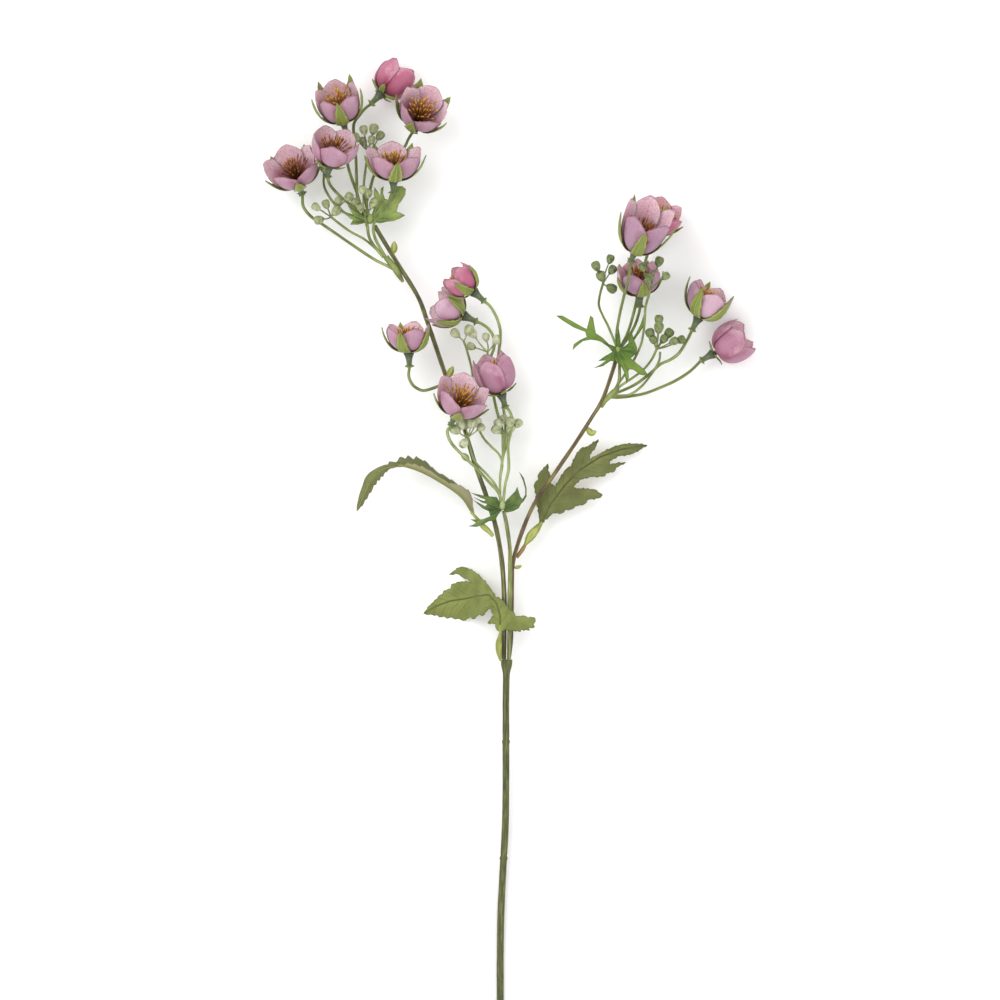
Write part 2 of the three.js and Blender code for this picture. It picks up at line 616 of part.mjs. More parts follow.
function leftSpray() {
  const topHub = [-98.5, 265.5, 25];
  const leftHub = [-125, 219.5, 24];
  const centreHub = [-101, 220, 28];
  return fuse([
    shapedTube(
      [[-86.5, 191.5, 25.8], [-81, 184.5, 25.2], [-77.5, 179, 24.8], [-74.5, 174, 24.2]],
      [2, 2.3, 2, 1]
    ),
    knob([-97.5, 218, 26.5], 3.6),
    ...bloomStalk('a4', [
      [-144.5, 227, 11], [-139, 220, 12], [-131, 214.5, 14], [-121.5, 208, 17], [-111.5, 201, 20],
      [-95, 190, 24], [-85, 185, 25.4], [-80.5, 182.5, 25.4],
    ]),
    ...bloomStalk('a5', [
      [-125, 241, 27.5], [-118.5, 234, 26], [-111.5, 228, 26], [-104.5, 221.5, 26.5],
      [-99, 218, 26.5],
    ]),
    ...bloomStalk('a1', [
      [-111.5, 275, 21], [-112.5, 268.5, 20.5], [-113.5, 258, 21], [-111, 248, 22],
      [-107.5, 238.5, 24], [-104, 227, 26], [-100, 216, 26.5], [-97.5, 203.5, 26.5], [-88, 191, 25.8],
    ]),
    ...bloomStalk('a2', [
      [-100.5, 296, 23], [-104, 292, 23], [-109, 284.5, 22], [-108.5, 273.5, 21],
      [-107.5, 259.5, 21.5], [-107, 245.5, 23.5], [-106, 231.5, 25.5], [-98.5, 219, 26.5],
    ]),
    ...bloomStalk('a3', [
      [-71, 274, 16], [-74, 268, 14.5], [-83, 258, 13.6], [-93.5, 251, 14.6], [-97.5, 239.5, 19],
      [-100, 228.5, 23], [-98, 219, 26],
    ]),
    ...bloomStalk('a6', [
      [-84.5, 229, 27.5], [-88.5, 223.5, 26.8], [-94, 218, 26.8], [-94.5, 206, 26.8], [-86, 190, 26],
    ]),
    budStalk([
      leftHub, [-118, 214, 23.6], [-111, 209, 23.6], [-101, 203.5, 24], [-89.5, 193.5, 25],
      [-83, 187, 25.4],
    ]),
    budStalk([
      topHub, [-100, 258, 23.6], [-101, 251, 23.4], [-102, 241, 24.5], [-101, 230, 26],
      [-98, 219, 27],
    ]),
    budStalk([centreHub, [-100, 213, 27]]),
    budStalk([
      [-130, 250, 17], [-130, 242, 19], [-127, 235, 22], [-122, 228, 25], [-116.5, 223, 25.5],
      [-106, 219, 26.4],
    ]),
    ...budGroup([-130, 249, 17], [[-130, 254]]),
    ...budGroup(topHub, [
      [-107.5, 275], [-102, 280.5], [-102.5, 272.5], [-95, 281], [-90.5, 276.5], [-96.5, 273.5],
    ]),
    ...budGroup(leftHub, [
      [-135.5, 226.5], [-128.5, 228.5], [-120, 230.5], [-112.5, 233.5], [-133.5, 217.5], [-121, 224],
    ]),
    ...budGroup(centreHub, [
      [-103, 238.5], [-99, 236], [-107.5, 229], [-104, 226], [-95, 229],
    ]),
    bract([
      [-97, 216], [-97, 219.5], [-94, 228], [-95, 235], [-94.5, 240.5], [-92, 237], [-90.5, 234],
      [-90, 239.5], [-88, 241], [-88.5, 236], [-87, 232], [-85, 231.5], [-83.5, 236],
      [-82, 239.5], [-79.5, 241], [-75, 241], [-72.5, 239], [-73, 235], [-76, 230], [-77.5, 228.5],
      [-79, 223], [-76.5, 222.5], [-73, 220.5], [-76.5, 218.5], [-81, 216.5], [-86, 216], [-90.5, 215],
    ], { height: 27, rise: 0.05 }),
    bract([
      [-98.5, 216], [-99, 219], [-104, 221.5], [-109.5, 225], [-113.5, 228], [-111.5, 224.5],
      [-109, 220], [-113.5, 222], [-118.5, 226], [-116, 222], [-111, 218], [-109.5, 217.5],
      [-111.5, 214], [-106, 214], [-102, 215],
    ], { height: 27.5 }),
  ]);
}

function middleSpray() {
  const lowHub = [-29.5, 65, 27.5];
  const rightHub = [-2, 66, 22];
  const highHub = [-32, 132.5, 26];
  const topHub = [-15.5, 125, 21];
  return fuse([
    knob([-5, 17.5, 22.4], 3.4),
    ...bloomStalk('b4', [
      [-43.5, 69, 29], [-40.5, 61, 27.6], [-31, 51, 26.5], [-22, 42.5, 25.5], [-13.5, 33, 24.5],
      [-8, 27, 23.5], [-5, 19, 22.4],
    ]),
    ...bloomStalk('b5', [
      [-0.5, 84.5, 26.5], [2, 77.5, 25], [1, 69, 24], [-1, 59, 23.5], [-0.5, 44, 23],
      [-3, 32, 22.6], [-4.5, 19, 22.4],
    ]),
    ...bloomStalk('b1', [
      [-13.5, 156.5, 42], [-9, 149, 39], [-6.5, 140.5, 33.5], [-6.5, 133, 25], [-7.5, 125, 16.5],
      [-8, 115, 13], [-6.5, 102, 12.6], [-4.5, 88, 14.5], [-3, 74, 18], [-4, 57.5, 21],
      [-6.5, 37, 22.5],
    ]),
    ...bloomStalk('b2', [
      [-19, 144.5, 23], [-14.5, 141, 22], [-11, 135, 21], [-11, 127.5, 18.6], [-13.5, 120.5, 15],
      [-14.5, 112.5, 13], [-12, 98.5, 13], [-9, 84.5, 15], [-5, 69, 18.5], [-4.5, 55, 21.5],
    ]),
    budStalk([
      lowHub, [-27.5, 57.5, 25.5], [-24, 48, 25], [-15.5, 39, 24.5], [-9, 30.5, 23.2], [-5.5, 19, 22.4],
    ]),
    budStalk([
      highHub, [-29.5, 125, 24], [-26.5, 112.5, 20], [-25, 95, 17], [-23.5, 77.5, 17.5],
      [-19, 66, 19], [-13, 59, 20.5], [-7.5, 53.5, 21.5], [-5, 46.5, 22], [-6.5, 35.5, 22.5],
      [-6.5, 19, 22.4],
    ]),
    budStalk([rightHub, [-2.5, 59, 22], [-4.5, 51, 22], [-6.5, 39, 22.4]]),
    budStalk([topHub, [-14.5, 118, 17], [-13.5, 108, 13]]),
    stub([[-27.5, 48, 26], [-31, 51.5, 27], [-34, 54, 28]]),
    ...budGroup(lowHub, [
      [-38, 70.5], [-34, 74.5], [-30.5, 74.5], [-26.5, 75], [-23, 76], [-20, 72], [-32, 61],
    ]),
    ...budGroup(rightHub, [[-9.5, 70.5], [-8, 75], [-4, 78], [0.5, 76], [6, 75], [1, 71]]),
    ...budGroup(highHub, [[-38, 138], [-28.5, 140.5]]),
    ...budGroup(topHub, [[-26, 138], [-27, 129], [-16.5, 135.5], [-9, 133.5]]),
    bract([
      [-5, 14.5], [-6.5, 19], [-9, 23.5], [-15.5, 24], [-18, 24.5], [-27.5, 26.5], [-20.5, 23],
      [-16.5, 21.5], [-18, 20.5], [-25.5, 23.5], [-19, 19.5], [-15.5, 18.5], [-17, 17],
      [-25.5, 21.5], [-19, 15.5], [-14.5, 13.5], [-13.5, 10], [-18.5, 8], [-22, 7.5], [-27.5, 8],
      [-23.5, 5.5], [-25.5, 4], [-29.5, 3], [-23, 2.5], [-19, 4], [-14.5, 6.5], [-10, 7], [-8, 11],
    ], { height: 23.4, rise: 0.1, droop: 0.001 }),
    bract([
      [-5, 15], [-4, 19], [-2, 21.5], [2, 25.5], [4, 27.5], [5.5, 31], [6.5, 27], [7.5, 24],
      [9, 22], [11, 25], [11, 29], [9.5, 34.5], [6.5, 41.5], [10, 37], [12, 29.5], [12, 24],
      [10, 20.5], [8, 18.5], [6.5, 15.5], [2.5, 13.5], [-2, 12.5],
    ], { height: 23, rise: 0.2 }),
  ]);
}

function rightSpray() {
  const leftHub = [65.5, 173, 30];
  const centreHub = [98.5, 168.5, 47];
  const rightHub = [103, 127, 27];
  return fuse([
    shapedTube(
      [[76, 100, 25], [71, 95, 24.6], [67, 90.5, 24.2], [64.5, 86, 23.6]],
      [1.6, 2.1, 1.5, 0.9]
    ),
    knob([76, 126.5, 27], 3.4),
    ...bloomStalk('c1', [
      [84, 183, 47], [83, 175.5, 45], [80, 164, 40], [77, 151, 34], [75, 138, 29], [75.5, 128, 27],
    ]),
    ...bloomStalk('c2', [
      [96, 191, 7.5], [93, 179, 7.4], [90, 165, 8.5], [87, 152, 12], [83, 139, 18], [77.5, 127.5, 26],
    ]),
    ...bloomStalk('c3', [
      [90.5, 151.5, 15.5], [88, 144, 17], [83.5, 135.5, 20.5], [77.5, 127.5, 26],
    ]),
    ...bloomStalk('c4', [
      [124, 132.5, 21.5], [118.5, 124, 22], [112.5, 119.5, 22.5], [106, 116.5, 23],
      [98.5, 110, 23.5], [88.5, 102.5, 24], [78, 97.5, 24.2], [72, 95.5, 24.6],
    ]),
    ...bloomStalk('c5', [
      [126.5, 111.5, 12.5], [116.5, 105, 14.5], [105.5, 100, 17], [95, 96, 19.5], [84.5, 94, 21.5],
      [75, 93, 23], [70.5, 93.5, 24.2],
    ]),
    budStalk([
      leftHub, [63.5, 166, 29], [62.5, 158, 28], [65, 151, 27], [69.5, 142, 26.6], [75, 128.5, 27],
    ]),
    budStalk([
      centreHub, [97, 163.5, 45], [95, 156, 40], [94.5, 146, 34], [93.5, 137, 29.6],
      [92, 130, 27.6], [88.5, 122, 26.6], [83.5, 113.5, 26], [74.5, 100, 25],
    ]),
    budStalk([
      rightHub, [100, 120.5, 26.5], [96, 115, 26], [92, 111, 25.6], [85, 106, 25.4],
      [77.5, 101, 25], [72.5, 96, 24.8],
    ]),
    budStalk([
      [105.5, 125, 26.5], [104.5, 118, 25.6], [99, 109, 25], [92, 100.5, 24.6], [83.5, 95, 24.6],
      [72, 94.5, 24.6],
    ]),
    tube([[76.5, 125.5, 26.8], [77, 113.5, 26], [76.5, 104, 25.6], [72, 96, 24.8]], STALK_RADIUS),
    ...budGroup(leftHub, [[60.5, 185], [70.5, 190], [72, 182.5], [64, 178], [71.5, 169.5]]),
    ...budGroup(centreHub, [[93, 184], [97.5, 176.5], [104.5, 188], [109, 177.5]]),
    ...budGroup(rightHub, [
      [104.5, 147.5], [104.5, 142], [98.5, 138], [100.5, 133.5], [111.5, 138], [108, 134],
      [115, 132.5], [120, 133.5],
    ]),
    bract([
      [75, 125], [73, 124], [69, 128.5], [64, 132], [61, 133], [56.5, 133.5], [51.5, 132.5],
      [47, 129], [44, 126], [45, 130.5], [49.5, 133.5], [54, 135.5], [53, 139], [45, 142],
      [37, 147], [32.5, 150.5], [37, 150.5], [44, 146.5], [51, 142.5], [54, 141], [55.5, 146.5],
      [56.5, 150.5], [58.5, 149], [59.5, 143], [60.5, 138], [65, 135], [69.5, 130.5], [74.5, 128.5],
    ], { height: 28, rise: 0.1, droop: 0.004 }),
    bract([
      [74.5, 128.5], [72, 125], [66, 121.5], [62, 118.5], [67.5, 119], [63.5, 116], [58.5, 113.5],
      [65.5, 115], [70.5, 118.5], [74, 118.5], [78, 115], [80, 111], [82, 102.5], [83.5, 107],
      [83, 113], [86.5, 112.5], [91.5, 109], [97.5, 108], [94, 113], [89, 117], [85, 120.5],
      [88.5, 123.5], [89.5, 127.5], [87, 134], [85, 140.5], [83.5, 135], [83, 130], [80, 127.5],
      [78, 128.5], [77.5, 135], [76, 144], [74, 136],
    ], { height: 28.6, rise: 0.16, droop: 0.006 }),
    bract([
      [76, 125.5], [84.5, 132], [88.5, 138], [92, 145], [94.5, 153], [95.5, 149], [93.5, 142],
      [89, 135.5], [84.5, 129], [77.5, 124],
    ], { height: 26.5, rise: 0.05, droop: 0 }),
  ]);
}

function sideStalk() {
  return fuse(
    bloomStalk('b3', [
      [-70.5, 108, 31], [-68.5, 103, 28.5], [-65.5, 100, 26], [-60.5, 98, 24], [-54, 99.5, 22.6],
      [-50, 101, 22], [-44.7, 101.3, 21.6],
    ])
  );
}

// ---- large leaves ----------------------------------------------------------------------

// How far a point lies from a rib, and how far along it, both in mm.
function fromRib(rib, x, y) {
  let best = { far: Infinity, along: 0 };
  let passed = 0;
  for (let i = 0; i < rib.length - 1; i += 1) {
    const [ax, ay] = rib[i];
    const [bx, by] = rib[i + 1];
    const length = Math.hypot(bx - ax, by - ay);
    const share = THREE.MathUtils.clamp(((x - ax) * (bx - ax) + (y - ay) * (by - ay)) / length ** 2, 0, 1);
    const far = Math.hypot(x - mix(ax, bx, share), y - mix(ay, by, share));
    if (far < best.far) best = { far, along: passed + length * share };
    passed += length;
  }
  return best;
}

// A leaf seen flat: a rib and the toothed edges on its two sides, with its height by a rule.
function flatLeaf({ rib, upper, lower, height, petiole }) {
  const margin = [rib[0], ...upper, rib[rib.length - 1], ...[...lower].reverse()];
  const halves = [upper, lower].flatMap((edge) => withinOutline([...edge, ...[...rib].reverse()]));
  const blade = bladeSolid(halves, margin, (x, y, side) =>
    vec([x, y, height(x, y) + (side + 1) * (LEAF_THICKNESS / 2)])
  );
  return fuse([blade, petiole]);
}

function rightLeaf() {
  const rib = [[21.5, 3], [28.5, 18], [39, 32], [49.5, 42.5], [63.5, 51.5], [79, 57], [97, 60]];
  return flatLeaf({
    rib,
    upper: [
      [20.5, 11], [20, 15.5], [18, 21.5], [18.5, 25], [17, 32], [20, 35.5], [20.5, 40], [23, 42.5],
      [27, 47], [27, 42.5], [28.5, 39.5], [29, 33], [32, 30.5], [35.5, 37], [39, 42.5], [43, 45],
      [46.5, 53], [50, 57.5], [55, 59], [62.5, 64], [60.5, 58.5], [56.5, 53], [56.5, 50],
      [63.5, 54], [72.5, 58.5], [79.5, 60.5], [88, 61],
    ],
    lower: [
      [25, 7.5], [28.5, 10], [30.5, 12], [37, 12], [39.5, 14.5], [44.5, 15], [46.5, 17], [53, 18.5],
      [55, 21.5], [64, 23], [65.5, 25], [59, 29], [47, 29.5], [45, 31], [49.5, 35.5], [56.5, 37.5],
      [67, 38], [68, 40], [74, 41.5], [75, 44], [82, 48], [70.5, 46.5], [70.5, 48.5], [76, 52],
      [86, 53.5], [91.5, 56.5],
    ],
    height: (x, y) => {
      const { far, along } = fromRib(rib, x, y);
      return 13.4 + 2.4 * Math.sin(along / 30) - 0.0007 * along * along - 0.16 * far;
    },
    petiole: shapedTube(
      [
        [5, -19, 13.4], [9, -13.5, 13.5], [11, -10, 13.6], [14.5, -4.5, 13.7], [18.5, 0.5, 13.8],
        [23, 6, 13.9],
      ],
      [1.2, 1.7, 1.3, 2.5, 1.9, 0.9]
    ),
  });
}

function lowerLeaf() {
  return flatLeaf({
    rib: [
      [-6.5, -71], [-6.5, -60], [-9, -51], [-14.5, -45], [-23, -46], [-31, -48], [-41.5, -49.5],
      [-51, -53], [-60.5, -58.5],
    ],
    upper: [
      [-3, -69.5], [2, -70], [8, -71], [8, -69.5], [14.5, -70], [13.5, -68.5], [18, -67.5],
      [17, -66], [18.5, -63.5], [18, -61], [13, -61], [11.5, -60], [4.5, -60], [3, -57],
      [0.5, -55.5], [-2.5, -52], [-5, -48.5], [-9.5, -46.5], [-13.5, -40], [-20.5, -32],
      [-25, -28.5], [-30.5, -26], [-35.5, -26], [-40, -29], [-42.5, -31], [-38, -30.5],
      [-35.5, -31], [-34, -32.5], [-29.5, -34], [-26, -37], [-29, -36], [-34.5, -36], [-41, -38],
      [-41.5, -41], [-46.5, -42.5], [-47, -44.5], [-50, -46], [-51, -48], [-55.5, -52],
    ],
    lower: [
      [-8, -70.5], [-10, -67.5], [-10, -65.5], [-15.5, -65], [-11, -59], [-13.5, -55],
      [-15, -55.5], [-19, -60], [-21.5, -59], [-25.5, -62.5], [-27.5, -61], [-32.5, -63.5],
      [-35.5, -62], [-38, -62.5], [-41, -61], [-44, -62], [-46, -60.5], [-49.5, -61], [-51, -59.5],
      [-55.5, -59],
    ],
    // High where it passes over the branches, then bent down until its end lies flat.
    height: (x) => 21 * smooth(-37, -9, x) - 3 * smooth(3, 19, x),
    petiole: shapedTube(
      [[-6, -91.5, 18.4], [-7.5, -85, 19], [-7.5, -79, 19.6], [-6.5, -72.5, 20.6], [-6.5, -66, 21.2]],
      [0.9, 1.9, 2.3, 1.1, 0.9]
    ),
  });
}

// The left leaf arches and hangs folded along its rib, so it is laid out flat, with distance
// along the rib and distance from it, and then bent over the arch.
function leftLeaf() {
  const arch = [
    [-24, 9.5, 21.2], [-27, 13, 22], [-33, 22, 23.5], [-41.5, 29, 25], [-52, 35.5, 26],
    [-62.5, 41, 26.6], [-73, 44.5, 26.6], [-80, 45, 26], [-88.5, 43, 24.6], [-96, 37, 21.6],
    [-100.5, 28.5, 17.6], [-107, 13.5, 12],
  ];
  const curve = new THREE.CatmullRomCurve3(arch.map(vec), false, 'centripetal');
  const length = curve.getLength();
  const ribShares = [0, 0.1, 0.2, 0.3, 0.4, 0.5, 0.6, 0.7, 0.8, 0.9, 1];
  const rib = ribShares.map((share) => [share * length, 0]);
  const outer = [
    [4, 4.5], [12, 11.5], [16, 12.5], [22, 11.5], [30, 11.5], [37, 12.5], [41, 16], [46, 16.5],
    [54, 14.5], [60, 11.5], [61, 5.5], [67, 6], [68, 3.2], [76, 4], [82, 5], [88, 5.6],
    [94, 5.8], [100, 5.2], [105, 4.4], [109, 3.4], [113, 2.4],
  ];
  const inner = [
    [4, -5.5], [10, -11.5], [17, -14], [24, -12.5], [33, -15.5], [42, -14], [51, -9.5], [52, -6],
    [60, -7], [67, -8.5], [68, -4.4], [74, -4.6], [80, -6], [88, -7.4], [96, -7], [104, -5],
    [111, -3],
  ];
  const place = (along, across, side) => {
    const share = THREE.MathUtils.clamp(along / length, 0, 1);
    const at = curve.getPointAt(share);
    const tangent = curve.getTangentAt(share);
    const outwards = new THREE.Vector3(tangent.y, -tangent.x, 0).normalize();
    const open = smooth(0.5, 0.75, share);
    const wing = across >= 0 ? mix(0.5, 0.62, open) : mix(0.1, -0.62, open);
    const spread = outwards.clone().multiplyScalar(wing);
    spread.z = -Math.sqrt(1 - wing * wing);
    spread.addScaledVector(tangent, -spread.dot(tangent)).normalize();
    const face = across === 0 ? new THREE.Vector3(0, 0, 1) : spread.clone().cross(tangent).normalize();
    if (face.z < 0) face.negate();
    if (across < 0 && open < 1) face.copy(outwards).negate().lerp(face, open).normalize();
    return at
      .addScaledVector(spread, Math.abs(across))
      .addScaledVector(face, (side * LEAF_THICKNESS) / 2);
  };
  const margin = [rib[0], ...outer, rib[rib.length - 1], ...[...inner].reverse()];
  const halves = [outer, inner].flatMap((edge) => besideRib(rib, edge));
  const blade = bladeSolid(halves, margin, place);
  const petiole = shapedTube(
    [[-11.5, -4, 21.2], [-14.5, -0.5, 21.2], [-18.5, 3, 21.2], [-22, 7.5, 21.2], [-27, 13, 21.8]],
    [1.2, 1.7, 2, 1.2, 0.9]
  );
  return fuse([blade, petiole]);
}

// ---- the spray -------------------------------------------------------------------------

const group = new THREE.Group();

function add(name, geometry, material, parent = group) {
  const mesh = new THREE.Mesh(geometry, material);
  mesh.name = name;
  parent.add(mesh);
}

add('main_stem', mainStem(), stemFinish);
add('branch_left', branch(LEFT_BRANCH, LEFT_BRANCH_RADIUS, LEFT_STUBS), brownStemFinish);
add('branch_middle', branch(MIDDLE_BRANCH, BRANCH_RADIUS, []), stemFinish);
add('branch_right', branch(RIGHT_BRANCH, BRANCH_RADIUS, RIGHT_STUBS), brownStemFinish);
add('spray_left', leftSpray(), sprayFinish);
add('spray_middle', middleSpray(), sprayFinish);
add('spray_right', rightSpray(), sprayFinish);
add('side_stalk', sideStalk(), sprayFinish);
add('leaf_right', rightLeaf(), leafFinish);
add('leaf_left', leftLeaf(), leafFinish);
add('leaf_lower', lowerLeaf(), leafFinish);

for (const bloom of BLOOMS) {
  const head = new THREE.Group();
  head.position.set(...bloom.seat);
  head.quaternion.copy(bloomTurning(bloom));
  add(`bloom_${bloom.name}_petals`, petals(bloom), petalFinish, head);
  add(`bloom_${bloom.name}_sepals`, sepals(bloom), sepalFinish, head);
  add(`bloom_${bloom.name}_stamens`, stamens(bloom), stamenFinish, head);
  group.add(head);
}

export default group;
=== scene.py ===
"""Looks for an artificial ranunculus spray that lies on a pale table.

The tables below hold the spray's own sizes in millimetres: X across the spray, Y along it
towards the blooms, Z up from the table. Meshes are put into Blender in metres, in that frame.
"""

import logging
import math
from dataclasses import dataclass, field
from enum import Enum

import bpy
import numpy as np
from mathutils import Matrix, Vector
from mathutils.geometry import delaunay_2d_cdt


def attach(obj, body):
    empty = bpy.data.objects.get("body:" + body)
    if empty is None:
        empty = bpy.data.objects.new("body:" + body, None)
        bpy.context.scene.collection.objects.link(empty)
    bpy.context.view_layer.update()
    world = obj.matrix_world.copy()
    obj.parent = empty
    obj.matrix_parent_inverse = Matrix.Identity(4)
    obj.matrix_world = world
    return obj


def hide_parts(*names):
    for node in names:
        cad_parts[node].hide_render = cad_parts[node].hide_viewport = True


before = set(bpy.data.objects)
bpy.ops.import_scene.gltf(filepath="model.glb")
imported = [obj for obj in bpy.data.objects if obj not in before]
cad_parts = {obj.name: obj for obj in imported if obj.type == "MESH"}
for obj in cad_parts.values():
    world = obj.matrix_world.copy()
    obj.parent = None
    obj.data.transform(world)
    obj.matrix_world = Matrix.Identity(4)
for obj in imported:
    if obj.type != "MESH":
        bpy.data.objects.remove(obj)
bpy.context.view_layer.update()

log = logging.getLogger("spray")

MM = 0.001
TURN = 2 * math.pi
HALF_TURN = 3.1416  # near enough for a material
GOLDEN_ANGLE = 2.39996

# How many petals a bloom has, and the spray's sizes in mm.
PETALS = 5
CORE_RADIUS = 2.2
LAP = 0.9
PETAL_THICKNESS = 0.42
SEPAL_THICKNESS = 0.6
LEAF_THICKNESS = 0.8
BRACT_THICKNESS = 0.7
SEPAL_OFFSET = 2.0
TUBE_LENGTH = 13.0
STALK_RADIUS = 1.05
BUD_STALK_RADIUS = 0.85
STEM_RADIUS = 2.45
FUNNEL_RADIUS = 4.0
TABLE_SOFTNESS = 0.3
TOOTH_PITCH = 3.4
TOOTH_DEPTH = 0.85
FOLD_TOOTH_PITCH = 5.6
VEIN_WAVE = 0.74  # radians of the veins' wave for each mm

# Spacing of the points that fill a leaf and a bract, in mm.
LEAF_NET = 1.5
BRACT_NET = 1.3

# Rows and columns of points on a petal, on a sepal and on half of the folded leaf.
PETAL_GRID = (24, 17)
SEPAL_GRID = (22, 9)
FOLD_GRID = (130, 9)

# How much of a dye's light the pale room leaves, and the colour of the drops on the petals.
ROOM_SHADE = 0.84
FROST = "#fbeef2"

Array = np.ndarray
Points = list[list[float]]
Socket = bpy.types.NodeSocket


# Surfaces.


@dataclass
class Surface:
    """A closed mesh before it goes into Blender.

    points are millimetres; faces has four columns, with -1 in the last one of a triangle; uv
    follows the surface; tone is one number for each petal, thread or bud, and on a blade the
    distance to its edge in cm; side is 1 on an outer or upper face and 0 on an inner or lower one.
    """

    points: Array
    faces: Array
    uv: Array
    tone: Array
    side: Array

    def outward(self) -> "Surface":
        """Turns the faces round if the signed volume, a sum over fans of triangles, is negative.

        Returns:
            The surface itself, with its faces pointing outwards.
        """
        a, b, c, d = (self.points[self.faces[:, k]] for k in range(4))
        whole = np.einsum("ij,ij->i", a, np.cross(b, c)).sum()
        quads = self.faces[:, 3] >= 0
        whole += np.einsum("ij,ij->i", a, np.cross(c, d))[quads].sum()
        if whole < 0:
            self.faces = np.where(quads[:, None], self.faces[:, ::-1], self.faces[:, [2, 1, 0, 3]])
        return self

    def moved(self, turning: Array, seat: Array) -> "Surface":
        """Carries the points by a turning, whose columns are the new axes, and puts them at a seat."""
        return Surface(self.points @ turning.T + seat, self.faces, self.uv, self.tone, self.side)


def joined(parts: list[Surface]) -> Surface:
    """Puts surfaces together as one, each one's face numbers raised by the points before it.

    Args:
        parts: the surfaces.

    Returns:
        One surface that holds them all.
    """
    starts = np.cumsum([0] + [len(part.points) for part in parts[:-1]])
    faces = [np.where(part.faces >= 0, part.faces + start, -1) for part, start in zip(parts, starts)]
    points, uv, tone, side = (np.concatenate([getattr(part, key) for part in parts])
                              for key in ("points", "uv", "tone", "side"))
    return Surface(points, np.vstack(faces), uv, tone, side)


def unit(vectors: Array) -> Array:
    """Divides each vector by its length."""
    return vectors / np.maximum(np.linalg.norm(vectors, axis=-1, keepdims=True), 1e-9)


def smooth_step(low: float, high: float, value: Array) -> Array:
    """Rises from 0 at low to 1 at high as 3 x squared minus 2 x cubed."""
    x = np.clip((value - low) / (high - low), 0, 1)
    return x * x * (3 - 2 * x)


def bell(value: Array) -> Array:
    """A bell curve: the exponential of minus the square, 1 at 0."""
    return np.exp(-(value**2))


def way_along(points: Array) -> Array:
    """The length passed at each point of a row of points."""
    return np.concatenate([[0], np.cumsum(np.linalg.norm(np.diff(points, axis=0), axis=1))])


def ring_angles(sides: int) -> Array:
    """Angles of the points of a ring, half a step off the start."""
    return (np.arange(sides) + 0.5) / sides * TURN


def pressed_ring(sides: int, flat: float) -> Array:
    """Radii of a ring that is pressed flat: the root of the squared flat cosine and sine."""
    angle = ring_angles(sides)
    return np.sqrt((flat * np.cos(angle)) ** 2 + np.sin(angle) ** 2)


def upright(heights: Array) -> Array:
    """A path up the local Z axis."""
    return np.column_stack([np.zeros(len(heights)), np.zeros(len(heights)), heights])


def thinned(thickness: float, foot: float, band: float, to_edge: Array) -> Array:
    """A thickness that falls smoothly to its foot share over a band along the edge."""
    return thickness * (foot + (1 - foot) * smooth_step(0, band, to_edge))


def grid_faces(rows: int, columns: int, wrap: bool = False) -> Array:
    """Quads of a grid whose points are numbered row by row.

    Args:
        rows: number of rows of points.
        columns: number of columns of points.
        wrap: whether the last column joins the first.

    Returns:
        Point numbers, four to a face.
    """
    r, c = np.meshgrid(np.arange(rows - 1), np.arange(columns if wrap else columns - 1), indexing="ij")
    r, c = r.ravel(), c.ravel()
    beside = (c + 1) % columns
    here, over = r * columns, (r + 1) * columns
    return np.stack([here + c, here + beside, over + beside, over + c], axis=1)


def two_sides(count: int) -> Array:
    """The side of each point of a sheet: 1 for its outer face's points, then 0 for the inner's."""
    return np.repeat([1.0, 0.0], count)


def plate(middle: Array, thickness: Array, uv: Array, tone: float, outer: Array) -> Surface:
    """A thin closed sheet: a grid's points pushed half the thickness along its normals both ways.

    Args:
        middle: rows by columns by 3, the sheet's middle surface.
        thickness: rows by columns.
        uv: rows by columns by 2.
        tone: one number for the whole sheet.
        outer: rows by columns by 3, rough directions that point to the outer side.

    Returns:
        The sheet with its rim closed.
    """
    rows, columns = middle.shape[:2]
    normal = unit(np.cross(np.gradient(middle, axis=1), np.gradient(middle, axis=0)))
    normal *= np.sign(np.sum(normal * outer))
    half = normal * thickness[..., None] / 2
    count = rows * columns
    quads = grid_faces(rows, columns)
    number = np.arange(count).reshape(rows, columns)
    rim = np.concatenate([number[0, :-1], number[:-1, -1], number[-1, :0:-1], number[:0:-1, 0]])
    beside = np.roll(rim, -1)
    walls = np.stack([rim, rim + count, beside + count, beside], axis=1)
    points = np.vstack([(middle + half).reshape(-1, 3), (middle - half).reshape(-1, 3)])
    return Surface(
        points,
        np.vstack([quads, quads[:, ::-1] + count, walls]),
        np.vstack([uv.reshape(-1, 2)] * 2),
        np.full(2 * count, tone),
        two_sides(count),
    ).outward()


